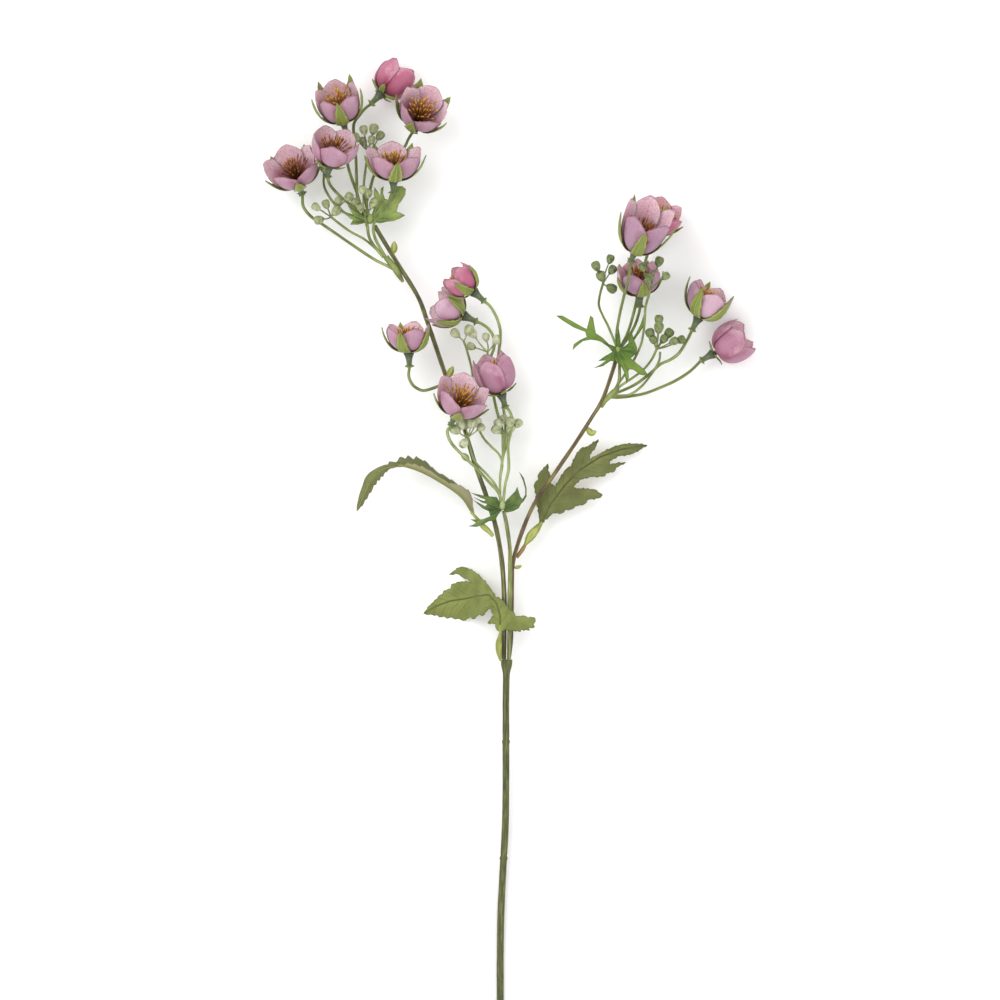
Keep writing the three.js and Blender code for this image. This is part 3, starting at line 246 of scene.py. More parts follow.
def sweep(paths: Array, radii: Array, sides: int, tones: Array | None = None, in_cm: bool = False) -> Surface:
    """Closed tubes along paths: rings square to the path, a radius from the middle, with flat ends.

    Args:
        paths: tubes by stations by 3.
        radii: stations, or tubes by stations, or tubes by stations by sides.
        sides: points in a ring.
        tones: one number for each tube.
        in_cm: whether the way along is kept in cm; otherwise as a share.

    Returns:
        All the tubes as one surface. uv is the way round, which goes up and back again so that it
        has no seam, and the way along.
    """
    tubes, stations = paths.shape[:2]
    along = unit(np.gradient(paths, axis=1))
    guide = np.eye(3)[int(np.argmin(np.abs(along.mean(axis=(0, 1)))))]
    right = unit(np.cross(guide, along))
    up = np.cross(along, right)
    angle = ring_angles(sides)
    radii = np.asarray(radii, float)
    if radii.ndim == 1:
        radii = np.broadcast_to(radii, (tubes, stations))
    if radii.ndim == 2:
        radii = np.broadcast_to(radii[..., None], (tubes, stations, sides))
    out = up[:, :, None] * np.cos(angle)[:, None] + right[:, :, None] * np.sin(angle)[:, None]
    rings = paths[:, :, None] + out * radii[..., None]
    count = stations * sides
    body = grid_faces(stations, sides, wrap=True)
    ring = np.arange(sides)
    beside = (ring + 1) % sides
    none = np.full(sides, -1)
    start = np.stack([np.full(sides, count), beside, ring, none], axis=1)
    last = (stations - 1) * sides
    end = np.stack([np.full(sides, count + 1), ring + last, beside + last, none], axis=1)
    size = count + 2
    points = np.concatenate([rings.reshape(tubes, count, 3), paths[:, :1], paths[:, -1:]], axis=1)
    faces = np.vstack([body, start, end])[None]
    faces = np.where(faces >= 0, faces + (np.arange(tubes) * size)[:, None, None], -1)
    share = np.linspace(0, 1, stations)
    round_share = np.broadcast_to(np.abs(2 * (np.arange(sides) + 0.5) / sides - 1), (stations, sides))
    uv = np.stack([round_share, np.broadcast_to(share[:, None], (stations, sides))], axis=-1)
    uv = np.tile(np.vstack([uv.reshape(-1, 2), [[0.5, 0], [0.5, 1]]]), (tubes, 1))
    tones = np.zeros(tubes) if tones is None else tones
    if in_cm:
        length = np.linalg.norm(np.diff(paths, axis=1), axis=2).sum(axis=1)
        uv[:, 1] *= np.repeat(length / 10, size)
    return Surface(points.reshape(-1, 3), faces.reshape(-1, 4), uv, np.repeat(tones, size),
                   np.ones(tubes * size)).outward()


def smooth_path(route: Points, step: float) -> Array:
    """Even stations along a Catmull-Rom curve through the route.

    Each span is a cubic whose slope at a point is half the step between its neighbours; the
    spans are sampled finely and then measured off evenly along their length.

    Args:
        route: the points.
        step: distance between stations.

    Returns:
        Stations by 3.
    """
    knots = np.array(route, float)
    padded = np.vstack([2 * knots[0] - knots[1], knots, 2 * knots[-1] - knots[-2]])
    t = np.linspace(0, 1, 12, endpoint=False)[:, None, None]
    p0, p1, p2, p3 = padded[:-3], padded[1:-2], padded[2:-1], padded[3:]
    bend, twist = 2 * p0 - 5 * p1 + 4 * p2 - p3, 3 * p1 - p0 - 3 * p2 + p3
    fine = 0.5 * (2 * p1 + (p2 - p0) * t + bend * t**2 + twist * t**3)
    fine = np.vstack([fine.transpose(1, 0, 2).reshape(-1, 3), knots[-1:]])
    length = way_along(fine)
    stations = np.linspace(0, length[-1], max(3, int(round(length[-1] / step)) + 1))
    return np.stack([np.interp(stations, length, fine[:, k]) for k in range(3)], axis=1)


def waves(values: Array, seed: int, count: int = 4) -> Array:
    """A soft random curve: a sum of sines of rising frequency and falling height.

    Args:
        values: where to read it.
        seed: which curve.
        count: number of sines.

    Returns:
        Heights of about -1 to 1.
    """
    rng = np.random.default_rng(seed)
    rate = rng.uniform(0.6, 1.4, count) * (np.arange(count) + 1)
    phase = rng.uniform(0, TURN, count)
    return sum(np.sin(rate[k] * values + phase[k]) / (k + 1) for k in range(count)) / 1.6


def stem_tube(route: Points, radius: float, tip: float, seed: int, sides: int, step: float) -> Surface:
    """A stem: a tube whose radius goes evenly from end to end, with slight swellings and five ribs.

    Args:
        route: the points that it passes through.
        radius: at the start.
        tip: radius at the end.
        seed: which swellings.
        sides: points in a ring.
        step: distance between rings.

    Returns:
        The tube.
    """
    path = smooth_path(route, step)
    share = np.linspace(0, 1, len(path))
    radii = radius + (tip - radius) * share
    radii = radii * (1 + 0.05 * waves(share * len(path) * 0.22, seed))
    ribbed = radii[:, None] * (1 + 0.035 * np.cos(5 * ring_angles(sides) + 3 * share[:, None]))
    return sweep(path[None], ribbed[None], sides, np.array([0.37 * seed]), in_cm=True)


def shaped_tube(route: Points, radii: list[float], sides: int = 10) -> Surface:
    """A tube with a radius given at each point, read smoothly in between.

    Args:
        route: the points.
        radii: one for each point.
        sides: points in a ring.

    Returns:
        The tube.
    """
    path = smooth_path(route, 1.0)
    curve = np.column_stack([way_along(np.array(route, float)), radii, np.zeros(len(radii))])
    sample = smooth_path(curve.tolist(), 0.5)
    share = np.linspace(0, sample[-1, 0], len(path))
    radius = np.maximum(np.interp(share, sample[:, 0], sample[:, 1]), 0.15)
    ring = radius[:, None] * pressed_ring(sides, 1.0)
    return sweep(path[None], ring[None], sides, in_cm=True)


def scale_leaf(route: Points) -> Surface:
    """A small oval leaf on a short neck: beyond the neck its radius is the sine of the way along."""
    path = smooth_path(route, 0.4)
    share = np.clip((np.linspace(0, 1, len(path)) - 0.15) / 0.85, 0, 1)
    radius = 0.5 - 0.2 * share + 2.0 * np.sin(math.pi * share**0.9) ** 0.8
    return sweep(path[None], (radius[:, None] * pressed_ring(10, 0.5))[None], 10)


# Blades cut from an outline.


def from_lines(points: Array, lines: Array) -> tuple[Array, Array, Array]:
    """Nearest place on a row of straight lines, by dropping a foot on each line and taking the best.

    Args:
        points: n by 2.
        lines: m by 2, the corners of the row of lines.

    Returns:
        The distance, the length passed along the row, and the side as -1 or 1.
    """
    start, end = lines[:-1], lines[1:]
    run = end - start
    length = np.linalg.norm(run, axis=1)
    rel = points[:, None] - start
    share = np.clip((rel * run).sum(axis=2) / length**2, 0, 1)
    gap = rel - share[..., None] * run
    far = np.linalg.norm(gap, axis=2)
    best = far.argmin(axis=1)
    pick = np.arange(len(points))
    passed = np.concatenate([[0], np.cumsum(length)[:-1]])
    turn = run[:, 0] * rel[..., 1] - run[:, 1] * rel[..., 0]
    return far[pick, best], passed[best] + share[pick, best] * length[best], np.sign(turn[pick, best])


def inside(points: Array, outline: Array) -> Array:
    """Whether points lie in an outline: an odd number of its edges cross the ray to their right.

    Args:
        points: n by 2.
        outline: m by 2.

    Returns:
        n truths.
    """
    a, b = outline, np.roll(outline, -1, axis=0)
    x, y = points[:, :1], points[:, 1:]
    spans = (a[:, 1] > y) != (b[:, 1] > y)
    rise = np.where(b[:, 1] == a[:, 1], 1e-9, b[:, 1] - a[:, 1])
    crossing = a[:, 0] + (y - a[:, 1]) * (b[:, 0] - a[:, 0]) / rise
    return (spans & (x < crossing)).sum(axis=1) % 2 == 1


def toothed(outline: Array, pitch: float, depth: float) -> Array:
    """Sets small teeth on an outline, as many to an edge as its length allows.

    Every pitch of an edge gets a point pushed out at two thirds of the way, by the depth times
    the squared sine of the edge's half turn, so that corners stay sharp. Short edges stay straight.

    Args:
        outline: its corners in order.
        pitch: the way from tooth to tooth, in mm.
        depth: how far a tooth stands out, in mm.

    Returns:
        The corners with the teeth.
    """
    edge = np.roll(outline, -1, axis=0) - outline
    length = np.linalg.norm(edge, axis=1)
    turned = np.sign(np.sum(outline[:, 0] * edge[:, 1] - outline[:, 1] * edge[:, 0]))
    count = np.maximum(1, np.round(length / pitch)).astype(int)
    owner = np.repeat(np.arange(len(outline)), count)
    first = np.repeat(np.cumsum(count) - count, count)
    place = np.arange(len(owner)) - first
    out = np.column_stack([edge[:, 1], -edge[:, 0]]) / length[:, None] * turned
    push = depth * smooth_step(0.8 * pitch, 1.3 * pitch, length)
    share = np.stack([place, place + 0.66], axis=1) / count[owner][:, None]
    corners = outline[owner][:, None] + edge[owner][:, None] * share[..., None]
    corners[:, 1] += out[owner] * (push[owner] * np.sin(math.pi * share[:, 1]) ** 2)[:, None]
    return corners.reshape(-1, 2)


@dataclass
class Cut:
    """An outline filled with small triangles: its flat points, faces and distance to the edge."""

    outline: Array
    spacing: float
    flat: Array = field(init=False)
    faces: Array = field(init=False)
    to_edge: Array = field(init=False)

    def __post_init__(self) -> None:
        """Steps along the edge, lays a net of staggered points inside it and joins them."""
        corners = self.outline
        run = np.roll(corners, -1, axis=0) - corners
        steps = np.maximum(1, np.round(np.linalg.norm(run, axis=1) / self.spacing)).astype(int)
        edge = np.vstack([c + d * np.linspace(0, 1, n, endpoint=False)[:, None]
                          for c, d, n in zip(corners, run, steps)])
        low, high = corners.min(axis=0), corners.max(axis=0)
        x, y = np.meshgrid(np.arange(low[0], high[0], self.spacing),
                           np.arange(low[1], high[1], self.spacing * 0.87), indexing="ij")
        x = x + np.where(np.arange(x.shape[1]) % 2, self.spacing / 2, 0)
        net = np.column_stack([x.ravel(), y.ravel()])
        loop = np.vstack([edge, edge[:1]])
        net = net[inside(net, edge)]
        net = net[from_lines(net, loop)[0] > self.spacing * 0.55]
        flat = np.vstack([edge, net])
        ring = list(range(len(edge)))
        result = delaunay_2d_cdt([Vector(p) for p in flat], [], [ring], 0, 1e-5, False)
        self.flat = np.array([tuple(v) for v in result[0]])
        faces = np.array([tuple(f) + (-1,) for f in result[2]])
        self.faces = faces[inside(self.flat[faces[:, :3]].mean(axis=1), edge)]
        self.to_edge = from_lines(self.flat, loop)[0]

    def solid(self, height: Array, thickness: Array, uv: Array) -> Surface:
        """A closed blade over the cut: the height is its lower face, and edges used once get a wall.

        Args:
            height: for each flat point, in mm.
            thickness: for each flat point.
            uv: for each flat point.

        Returns:
            The blade. Its tone is the distance to the edge, in cm.
        """
        count = len(self.flat)
        tri = self.faces[:, :3]
        pairs = np.vstack([tri[:, [0, 1]], tri[:, [1, 2]], tri[:, [2, 0]]])
        code = pairs[:, 0] * count + pairs[:, 1]
        back = pairs[:, 1] * count + pairs[:, 0]
        open_edges = pairs[~np.isin(code, back)]
        walls = np.column_stack([open_edges[:, 0], open_edges[:, 0] + count,
                                 open_edges[:, 1] + count, open_edges[:, 1]])
        under = np.column_stack([tri[:, ::-1] + count, np.full(len(tri), -1)])
        upper = np.column_stack([self.flat, height + thickness])
        lower = np.column_stack([self.flat, height])
        return Surface(
            np.vstack([upper, lower]),
            np.vstack([self.faces, under, walls]),
            np.vstack([uv, uv]),
            np.tile(self.to_edge / 10, 2),
            two_sides(count),
        ).outward()


# Shader expressions.


class Value:
    """A number that varies over a surface. It wraps a socket, so that sums read as sums."""

    def __init__(self, desk: "Desk", socket: Socket) -> None:
        """Keeps the desk that makes new nodes and the socket that holds the number."""
        self.desk = desk
        self.socket = socket

    def _with(self, operation: str, first: "Value | float", second: "Value | float" = 0.0) -> "Value":
        """Adds a Math node of that operation over the two numbers."""
        return self.desk.value("ShaderNodeMath", {"operation": operation}, {0: first, 1: second})

    def __add__(self, other: "Value | float") -> "Value":
        """self + other."""
        return self._with("ADD", self, other)

    __radd__ = __add__

    def __sub__(self, other: "Value | float") -> "Value":
        """self - other."""
        return self._with("SUBTRACT", self, other)

    def __rsub__(self, other: float) -> "Value":
        """other - self."""
        return self._with("SUBTRACT", other, self)

    def __mul__(self, other: "Value | float") -> "Value":
        """self * other."""
        return self._with("MULTIPLY", self, other)

    __rmul__ = __mul__

    def __abs__(self) -> "Value":
        """The number without its sign."""
        return self._with("ABSOLUTE", self)

    def sine(self) -> "Value":
        """Its sine, in radians."""
        return self._with("SINE", self)

    def fraction(self) -> "Value":
        """What is left above the whole number below it."""
        return self._with("FRACT", self)

    def ramp(self, low: float, high: float) -> "Value":
        """0 below low, 1 above high and smooth between them.

        Args:
            low: where it starts; it may be above high, for a fall.
            high: where it ends.

        Returns:
            The share.
        """
        turned = low > high
        ends = (high, low) if turned else (low, high)
        share = self.desk.value("ShaderNodeMapRange", {"interpolation_type": "SMOOTHSTEP"},
                                {"Value": self, "From Min": ends[0], "From Max": ends[1]})
        return 1 - share if turned else share


Colour = tuple[float, float, float]


def paint(code: str) -> Colour:
    """A colour as Blender holds it, from the usual six signs: the sRGB curve, then room light."""
    parts = [int(code[k:k + 2], 16) / 255 for k in (1, 3, 5)]
    linear = [c / 12.92 if c <= 0.04045 else ((c + 0.055) / 1.055) ** 2.4 for c in parts]
    return tuple(c * ROOM_SHADE for c in linear)


class Desk:
    """Where one material is made: it adds nodes and joins them."""

    def __init__(self, name: str) -> None:
        """Starts an empty material with a Principled shader.

        Args:
            name: the material's name.
        """
        self.material = bpy.data.materials.new(name)
        self.material.use_nodes = True
        self.tree = self.material.node_tree
        self.shader = next(n for n in self.tree.nodes if n.type == "BSDF_PRINCIPLED")

    def node(self, kind: str, settings: dict, inputs: dict) -> bpy.types.Node:
        """Adds a node.

        Args:
            kind: the node's type.
            settings: attributes that are set first.
            inputs: socket name or number to a value, a socket or plain numbers.

        Returns:
            The node.
        """
        made = self.tree.nodes.new(kind)
        for key, setting in settings.items():
            setattr(made, key, setting)
        for key, given in inputs.items():
            self.feed(made.inputs[key], given)
        return made

    def feed(self, socket: Socket, given: object) -> None:
        """Puts a link or a plain number or colour into a socket."""
        if isinstance(given, Value):
            given = given.socket
        if isinstance(given, Socket):
            self.tree.links.new(given, socket)
        elif isinstance(given, tuple) and socket.type == "RGBA":
            socket.default_value = (*given, 1.0)
        else:
            socket.default_value = given

    def value(self, kind: str, settings: dict, inputs: dict, output: int | str = 0) -> Value:
        """Adds a node and wraps one of its outputs."""
        return Value(self, self.node(kind, settings, inputs).outputs[output])

    def place(self) -> Socket:
        """The point on the object, in metres."""
        return self.node("ShaderNodeTexCoord", {}, {}).outputs["Object"]

    def across_along(self) -> tuple[Value, Value]:
        """The two numbers of the piece's own uv map."""
        uv = self.node("ShaderNodeUVMap", {"uv_map": "surface"}, {}).outputs[0]
        parts = self.node("ShaderNodeSeparateXYZ", {}, {0: uv})
        return Value(self, parts.outputs[0]), Value(self, parts.outputs[1])

    def kept(self, name: str) -> Value:
        """A number kept on the piece's points."""
        return self.value("ShaderNodeAttribute", {"attribute_name": name}, {}, "Fac")

    def noise(self, scale: float, detail: float, at: Socket | None = None) -> Value:
        """Cloudy noise of about 0.3 to 0.7, over the object's points unless told otherwise."""
        sockets = {"Vector": at or self.place(), "Scale": scale, "Detail": detail, "Roughness": 0.55}
        return self.value("ShaderNodeTexNoise", {}, sockets)

    def drawn(self, detail: float, x: Value, y: Value, z: Value | float = 0.0) -> Value:
        """Noise drawn out by three numbers of the piece's own in place of the object's points."""
        return self.noise(1.0, detail, self.node("ShaderNodeCombineXYZ", {}, {0: x, 1: y, 2: z}).outputs[0])

    def mix(self, first: object, second: object, share: Value | float, blend: str = "MIX") -> Socket:
        """A colour between two colours, or a blend of another kind."""
        settings = {"data_type": "RGBA", "blend_type": blend}
        return self.node("ShaderNodeMix", settings, {0: share, 6: first, 7: second}).outputs[2]

    def coats(self, ground: str, *coats: tuple[str, Value]) -> Socket:
        """A ground dye with other dyes laid over it one by one, each where its share says."""
        colour = paint(ground)
        for dye, share in coats:
            colour = self.mix(colour, paint(dye), share)
        return colour

    def shade(self, colour: object, share: Value) -> Socket:
        """A colour times a grey of that share."""
        grey = self.node("ShaderNodeCombineColor", {}, {0: share, 1: share, 2: share}).outputs[0]
        return self.mix(colour, grey, 1.0, "MULTIPLY")

    def bump(self, height: Value, depth: float) -> Socket:
        """A normal tilted by a height field whose range of 1 stands for a depth in metres."""
        sockets = {"Strength": 1.0, "Distance": depth, "Height": height}
        return self.node("ShaderNodeBump", {}, sockets).outputs[0]

    def finish(self, colour: object, roughness: Value | float, normal: Socket | None = None,
               **uniform: float) -> bpy.types.Material:
        """Joins the colour, roughness and normal to the shader.

        Args:
            colour: colour or socket.
            roughness: number or value.
            normal: from bump.
            uniform: other sockets, named with _ for a space, each one number all over.

        Returns:
            The material.
        """
        self.feed(self.shader.inputs["Base Color"], colour)
        self.feed(self.shader.inputs["Roughness"], roughness)
        if normal is not None:
            self.feed(self.shader.inputs["Normal"], normal)
        for key, number in uniform.items():
            self.shader.inputs[key.replace("_", " ")].default_value = number
        return self.material


# Finishes.


@dataclass(frozen=True)
class Finish:
    """What the green finishes share: the material's name and its two main dyes."""

    name: str
    body: str
    light: str


@dataclass(frozen=True)
class PetalFinish:
    """Thin dyed cloth: a painted glow of pale violet light in the middle of its outer face, pale and netted
    inside with a dark foot, painted light that brightens the inside towards the tip, and a plum rim.
    """

    name: str
    body: str
    glow_lilac: str
    pale: str
    deep: str
    foot: str
    edge: str
    net: str
    clouds: float = 0.55

    def material(self) -> bpy.types.Material:
        """Builds it. across runs over a petal, along from its foot to its tip.

        Returns:
            The material.
        """
        desk = Desk(self.name)
        across, along = desk.across_along()
        side, tone = desk.kept("side"), desk.kept("tone")
        clouds, speckle, net, weave = (desk.noise(*kind) for kind in ((95, 4), (620, 3), (850, 3), (2600, 2)))
        fibres = desk.drawn(3, across * 34 + tone * 40, along * 2.2, tone * 9)
        inner = 1 - side
        from_middle = abs(across * 2 - 1)
        margin = along * 0.75 + from_middle * from_middle * 0.45 + (clouds - 0.5) * 1.1
        # painted glow: a paler violet middle of the outer face, painted as light shining through the petal
        painted_glow = (clouds * 0.9 - from_middle).ramp(-0.5, 0.3) * along.ramp(0.1, 0.45)
        pale_share = margin.ramp(0.5, 1.0) * (inner * 0.5 + 0.35) * self.clouds
        drops = speckle.ramp(0.5, 0.62) * margin.ramp(0.5, 0.9)
        foot = (along + (fibres - 0.5) * 0.5).ramp(0.52, 0.14)
        rim = from_middle.ramp(0.9, 0.965) * along.ramp(0.1, 0.35) + along.ramp(0.95, 0.98)
        colour = desk.coats(
            self.deep,
            (self.body, (along + clouds * 0.5 - side * 0.12).ramp(0.1, 0.65)),
            # the painted glow of light through the petal, on its outer face only
            (self.glow_lilac, painted_glow * side * 0.75),
            (self.pale, pale_share + tone.ramp(0.65, 0.95) * 0.45),
            (self.pale, inner * (along + clouds * 0.4).ramp(0.45, 0.9) * 0.92),
            (self.net, net.ramp(0.48, 0.62) * (inner * 0.3 + 0.08)),
            (FROST, drops * (inner * 0.4 + self.clouds * 0.1)),
            (self.deep, fibres.ramp(0.52, 0.7) * 0.2),
            (self.foot, foot * (0.96 - side * 0.8)),
            (self.edge, rim * (clouds * 0.7 + 0.12)),
        )
        # Painted light: the inner face is brightened towards its tip against the shade inside the cup; tone
        # gives each petal its own brightness.
        colour = desk.shade(colour, 0.92 + tone * 0.1 + inner * along.ramp(0.4, 0.8) * 0.15)
        height = fibres * 0.35 + weave * 0.2 + clouds * 0.5
        return desk.finish(colour, 0.62 + clouds * 0.2, desk.bump(height, 0.0006), Sheen_Weight=0.1,
                           Subsurface_Weight=0.12, Subsurface_Scale=0.003, Specular_IOR_Level=0.3)


@dataclass(frozen=True)
class SepalFinish(Finish):
    """Soft moulded green with darker ribs along it, a pale margin and a dull foot."""

    dark: str

    def material(self) -> bpy.types.Material:
        """Builds it.

        Returns:
            The material.
        """
        desk = Desk(self.name)
        across, along = desk.across_along()
        clouds = desk.noise(160, 4)
        fibres = desk.drawn(2, across * 14, along * 1.5, desk.kept("tone") * 7)
        from_middle = abs(across * 2 - 1)
        colour = desk.coats(
            self.dark,
            (self.body, (along + clouds * 0.6).ramp(0.15, 0.75)),
            (self.light, (from_middle + clouds * 0.6).ramp(0.7, 1.4) * 0.7),
            (self.dark, fibres.ramp(0.48, 0.62) * 0.6),
            (self.light, from_middle.ramp(0.14, 0.02) * 0.45),
            (self.light, (1 - desk.kept("side")) * 0.4),
            (self.dark, (from_middle + clouds * 0.1).ramp(0.94, 1.02) * 0.75),
        )
        height = fibres * 0.6 + clouds * 0.4 + from_middle.ramp(0.16, 0.0) * 0.7
        return desk.finish(colour, 0.5 + clouds * 0.2, desk.bump(height, 0.0007),
                           Subsurface_Weight=0.12, Subsurface_Scale=0.002, Specular_IOR_Level=0.35)


@dataclass(frozen=True)
class StamenFinish:
    """Dark red-brown threads that turn gold towards their knobbed ends."""

    name: str
    foot: str
    thread: str
    knob: str
    shadow: str

    def material(self) -> bpy.types.Material:
        """Builds it.

        Returns:
            The material.
        """
        desk = Desk(self.name)
        _, along = desk.across_along()
        tone = desk.kept("tone")
        grain = desk.noise(1500, 3)
        colour = desk.coats(
            self.foot,
            (self.thread, (along + tone * 0.2).ramp(0.1, 0.7)),
            (self.knob, along.ramp(0.72, 0.86)),
            (self.shadow, (grain + tone * 0.25).ramp(0.6, 0.8) * 0.7),
        )
        return desk.finish(colour, 0.6 + grain * 0.2, desk.bump(grain, 0.0004), Specular_IOR_Level=0.3)


@dataclass(frozen=True)
class StemFinish(Finish):
    """Moulded plastic with long streaks and mould scuffs, and painted shade that darkens the hollows between
    the streaks.
    """

    dark: str

    def material(self) -> bpy.types.Material:
        """Builds it. The streaks are noise drawn out along the stem, whose way along is in cm.

        Returns:
            The material.
        """
        desk = Desk(self.name)
        across, along = desk.across_along()
        tone = desk.kept("tone")
        streaks = desk.drawn(4, across * 6 + tone * 5, along * 0.7, tone * 3)
        clouds = desk.noise(70, 3)
        grain = desk.noise(1400, 2)
        colour = desk.coats(
            self.dark,
            # The dark ground shows in the low hollows of the streaks' bump: painted shade, over the plastic's
            # own streaky colour.
            (self.body, (streaks + clouds * 0.5).ramp(0.52, 0.86)),
            (self.light, streaks.ramp(0.5, 0.68) * 0.7),
            (self.light, grain.ramp(0.62, 0.75) * 0.25),
        )
        return desk.finish(colour, 0.48 + clouds * 0.3, desk.bump(streaks * 0.8 + grain * 0.3, 0.0006),
                           Subsurface_Weight=0.06, Subsurface_Scale=0.001, Specular_IOR_Level=0.4)


@dataclass(frozen=True)
class TubeFinish(Finish):
    """Grey-green flower tube with painted shade that darkens it towards the petals, and a fresh green collar.
    """

    calyx_shade: str
    collar: str

    def material(self) -> bpy.types.Material:
        """Builds it. along runs from the stalk to the petals.

        Returns:
            The material.
        """
        desk = Desk(self.name)
        across, along = desk.across_along()
        streaks = desk.drawn(3, across * 7, along * 1.2)
        clouds = desk.noise(230, 3)
        colour = desk.coats(
            self.body,
            (self.light, (streaks + clouds * 0.3).ramp(0.6, 0.85) * 0.8),
            # painted shade: darker towards the petals, under the sepals
            (self.calyx_shade, (along + clouds * 0.3).ramp(0.55, 1.05) * 0.8),
            (self.collar, along.ramp(0.25, 0.14) * 0.85),
        )
        return desk.finish(colour, 0.52 + clouds * 0.2, desk.bump(streaks + clouds * 0.5, 0.0006),
                           Subsurface_Weight=0.05, Subsurface_Scale=0.001, Specular_IOR_Level=0.35)


@dataclass(frozen=True)
class LeafFinish(Finish):
    """Printed leaf cloth: clouded colour, a dark midrib with a warm band, faint slanting side
    veins, a dark cut edge and a dusty back. slant is how far the veins fall behind for each step
    from the rib, pitch the way from vein to vein, in cm."""

    dark: str
    warm: str
    shadow: str
    back: str
    slant: float = 1.1
    pitch: float = 0.85

    def material(self) -> bpy.types.Material:
        """Builds it. across is the signed distance from the rib and along the way along it, in cm.

        Returns:
            The material.
        """
        desk = Desk(self.name)
        across, along = desk.across_along()
        clouds, bend, weave = (desk.noise(*kind) for kind in ((60, 5), (130, 2), (2400, 2)))
        far = abs(across)
        phase = (along - far * self.slant + bend * 0.4) * (1 / self.pitch)
        ridge = abs(phase.fraction() * 2 - 1)
        side_veins = ridge.ramp(0.86, 0.99) * far.ramp(1.9, 0.3)
        midrib = far.ramp(0.075, 0.02)
        net = desk.value("ShaderNodeTexVoronoi", {"feature": "DISTANCE_TO_EDGE"},
                         {"Vector": desk.place(), "Scale": 520}).ramp(0.09, 0.0)
        front = desk.coats(
            self.dark,
            (self.body, (clouds * 0.7 + bend * 0.5).ramp(0.3, 0.66)),
            (self.light, (clouds + ridge * 0.08 + bend * 0.3).ramp(0.62, 0.95) * 0.5),
            (self.warm, far.ramp(0.4, 0.08) * (clouds * 1.4).ramp(0.5, 0.9) * 0.5),
            (self.dark, side_veins * 0.34),
            (self.dark, net * 0.12),
            (self.shadow, midrib * (clouds * 1.5).ramp(0.45, 0.8) * 0.8),
            (self.shadow, desk.kept("tone").ramp(0.055, 0.012) * 0.5),
        )
        back = desk.coats(
            self.back,
            (self.body, (clouds + side_veins * 0.3).ramp(0.5, 0.9) * 0.4),
            (self.warm, far.ramp(0.55, 0.1) * 0.75),
        )
        colour = desk.mix(back, front, desk.kept("side").ramp(0.3, 0.7))
        height = weave * 0.25 + clouds * 0.4 + (1 - side_veins) * 0.35 + (1 - midrib) * 0.5
        return desk.finish(colour, 0.66 + clouds * 0.2, desk.bump(height, 0.0008),
                           Sheen_Weight=0.08, Specular_IOR_Level=0.3)


@dataclass(frozen=True)
class BractFinish(Finish):
    """Saturated moulded green with streaks that fan out of the foot."""

    dark: str

    def material(self) -> bpy.types.Material:
        """Builds it. across is the angle round the foot and along the way from it, in cm.

        Returns:
            The material.
        """
        desk = Desk(self.name)
        across, along = desk.across_along()
        clouds = desk.noise(140, 4)
        fans = desk.drawn(3, across * 7, along * 0.8)
        colour = desk.coats(
            self.dark,
            (self.body, (fans + clouds * 0.6).ramp(0.55, 0.95)),
            (self.light, fans.ramp(0.55, 0.7) * 0.5),
            (self.light, (along * 0.5 + clouds).ramp(0.8, 1.6) * 0.5),
            (self.dark, desk.kept("tone").ramp(0.06, 0.0) * 0.5),
        )
        return desk.finish(colour, 0.5 + clouds * 0.2, desk.bump(fans * 0.8 + clouds * 0.4, 0.0008),
                           Subsurface_Weight=0.08, Subsurface_Scale=0.001, Specular_IOR_Level=0.35)


@dataclass(frozen=True)
class BudFinish(Finish):
    """Bloomed grey-green with a brown tip and dark creases."""

    tip: str
    crease: str

    def material(self) -> bpy.types.Material:
        """Builds it. across is the way round a bud and along runs from its foot to its tip.

        Returns:
            The material.
        """
        desk = Desk(self.name)
        across, along = desk.across_along()
        tone = desk.kept("tone")
        grain = desk.noise(420, 4)
        creases = abs(((across * 4 + tone * 3) * HALF_TURN).sine())
        colour = desk.coats(
            self.crease,
            (self.body, (grain + along * 0.4).ramp(0.35, 0.7)),
            (self.light, (grain + tone * 0.3).ramp(0.5, 0.85) * 0.7),
            (self.crease, creases.ramp(0.3, 0.0) * along.ramp(0.35, 0.6) * 0.6),
            (self.tip, (along + tone * 0.1).ramp(0.8, 0.95) * 0.8),
        )
        return desk.finish(colour, 0.6 + grain * 0.2, desk.bump(grain, 0.0009), Specular_IOR_Level=0.3)


class PetalDye(Enum):
    """Which dye a bloom's petals have."""

    # The second colour of each dye is the pale violet of the painted glow of light through a petal.
    DUSTY = PetalFinish("petal_dusty", "#a86e86", "#bd99ac", "#f6d6e1", "#8f4562", "#703c34", "#55304a",
                        "#b0648a", 0.65)
    PALE = PetalFinish("petal_pale", "#c08ca4", "#d0abbe", "#f8e2ea", "#9c5a76", "#7c443c", "#5a3450",
                       "#b0648a", 1.1)
    ROSE = PetalFinish("petal_rose", "#ad4a6b", "#c47894", "#edbfcd", "#84304c", "#6a3038", "#57273c",
                       "#9c3f5f", 1.35)
    BLUSH = PetalFinish("petal_blush", "#a65f7b", "#bc90a6", "#f3cedb", "#8c4460", "#74403f", "#5c3048",
                        "#ac5c7a", 1.1)
    MAUVE = PetalFinish("petal_mauve", "#98627c", "#b390aa", "#f4d2df", "#803c5a", "#6e3a34", "#4e2a44",
                        "#a65c82", 0.75)


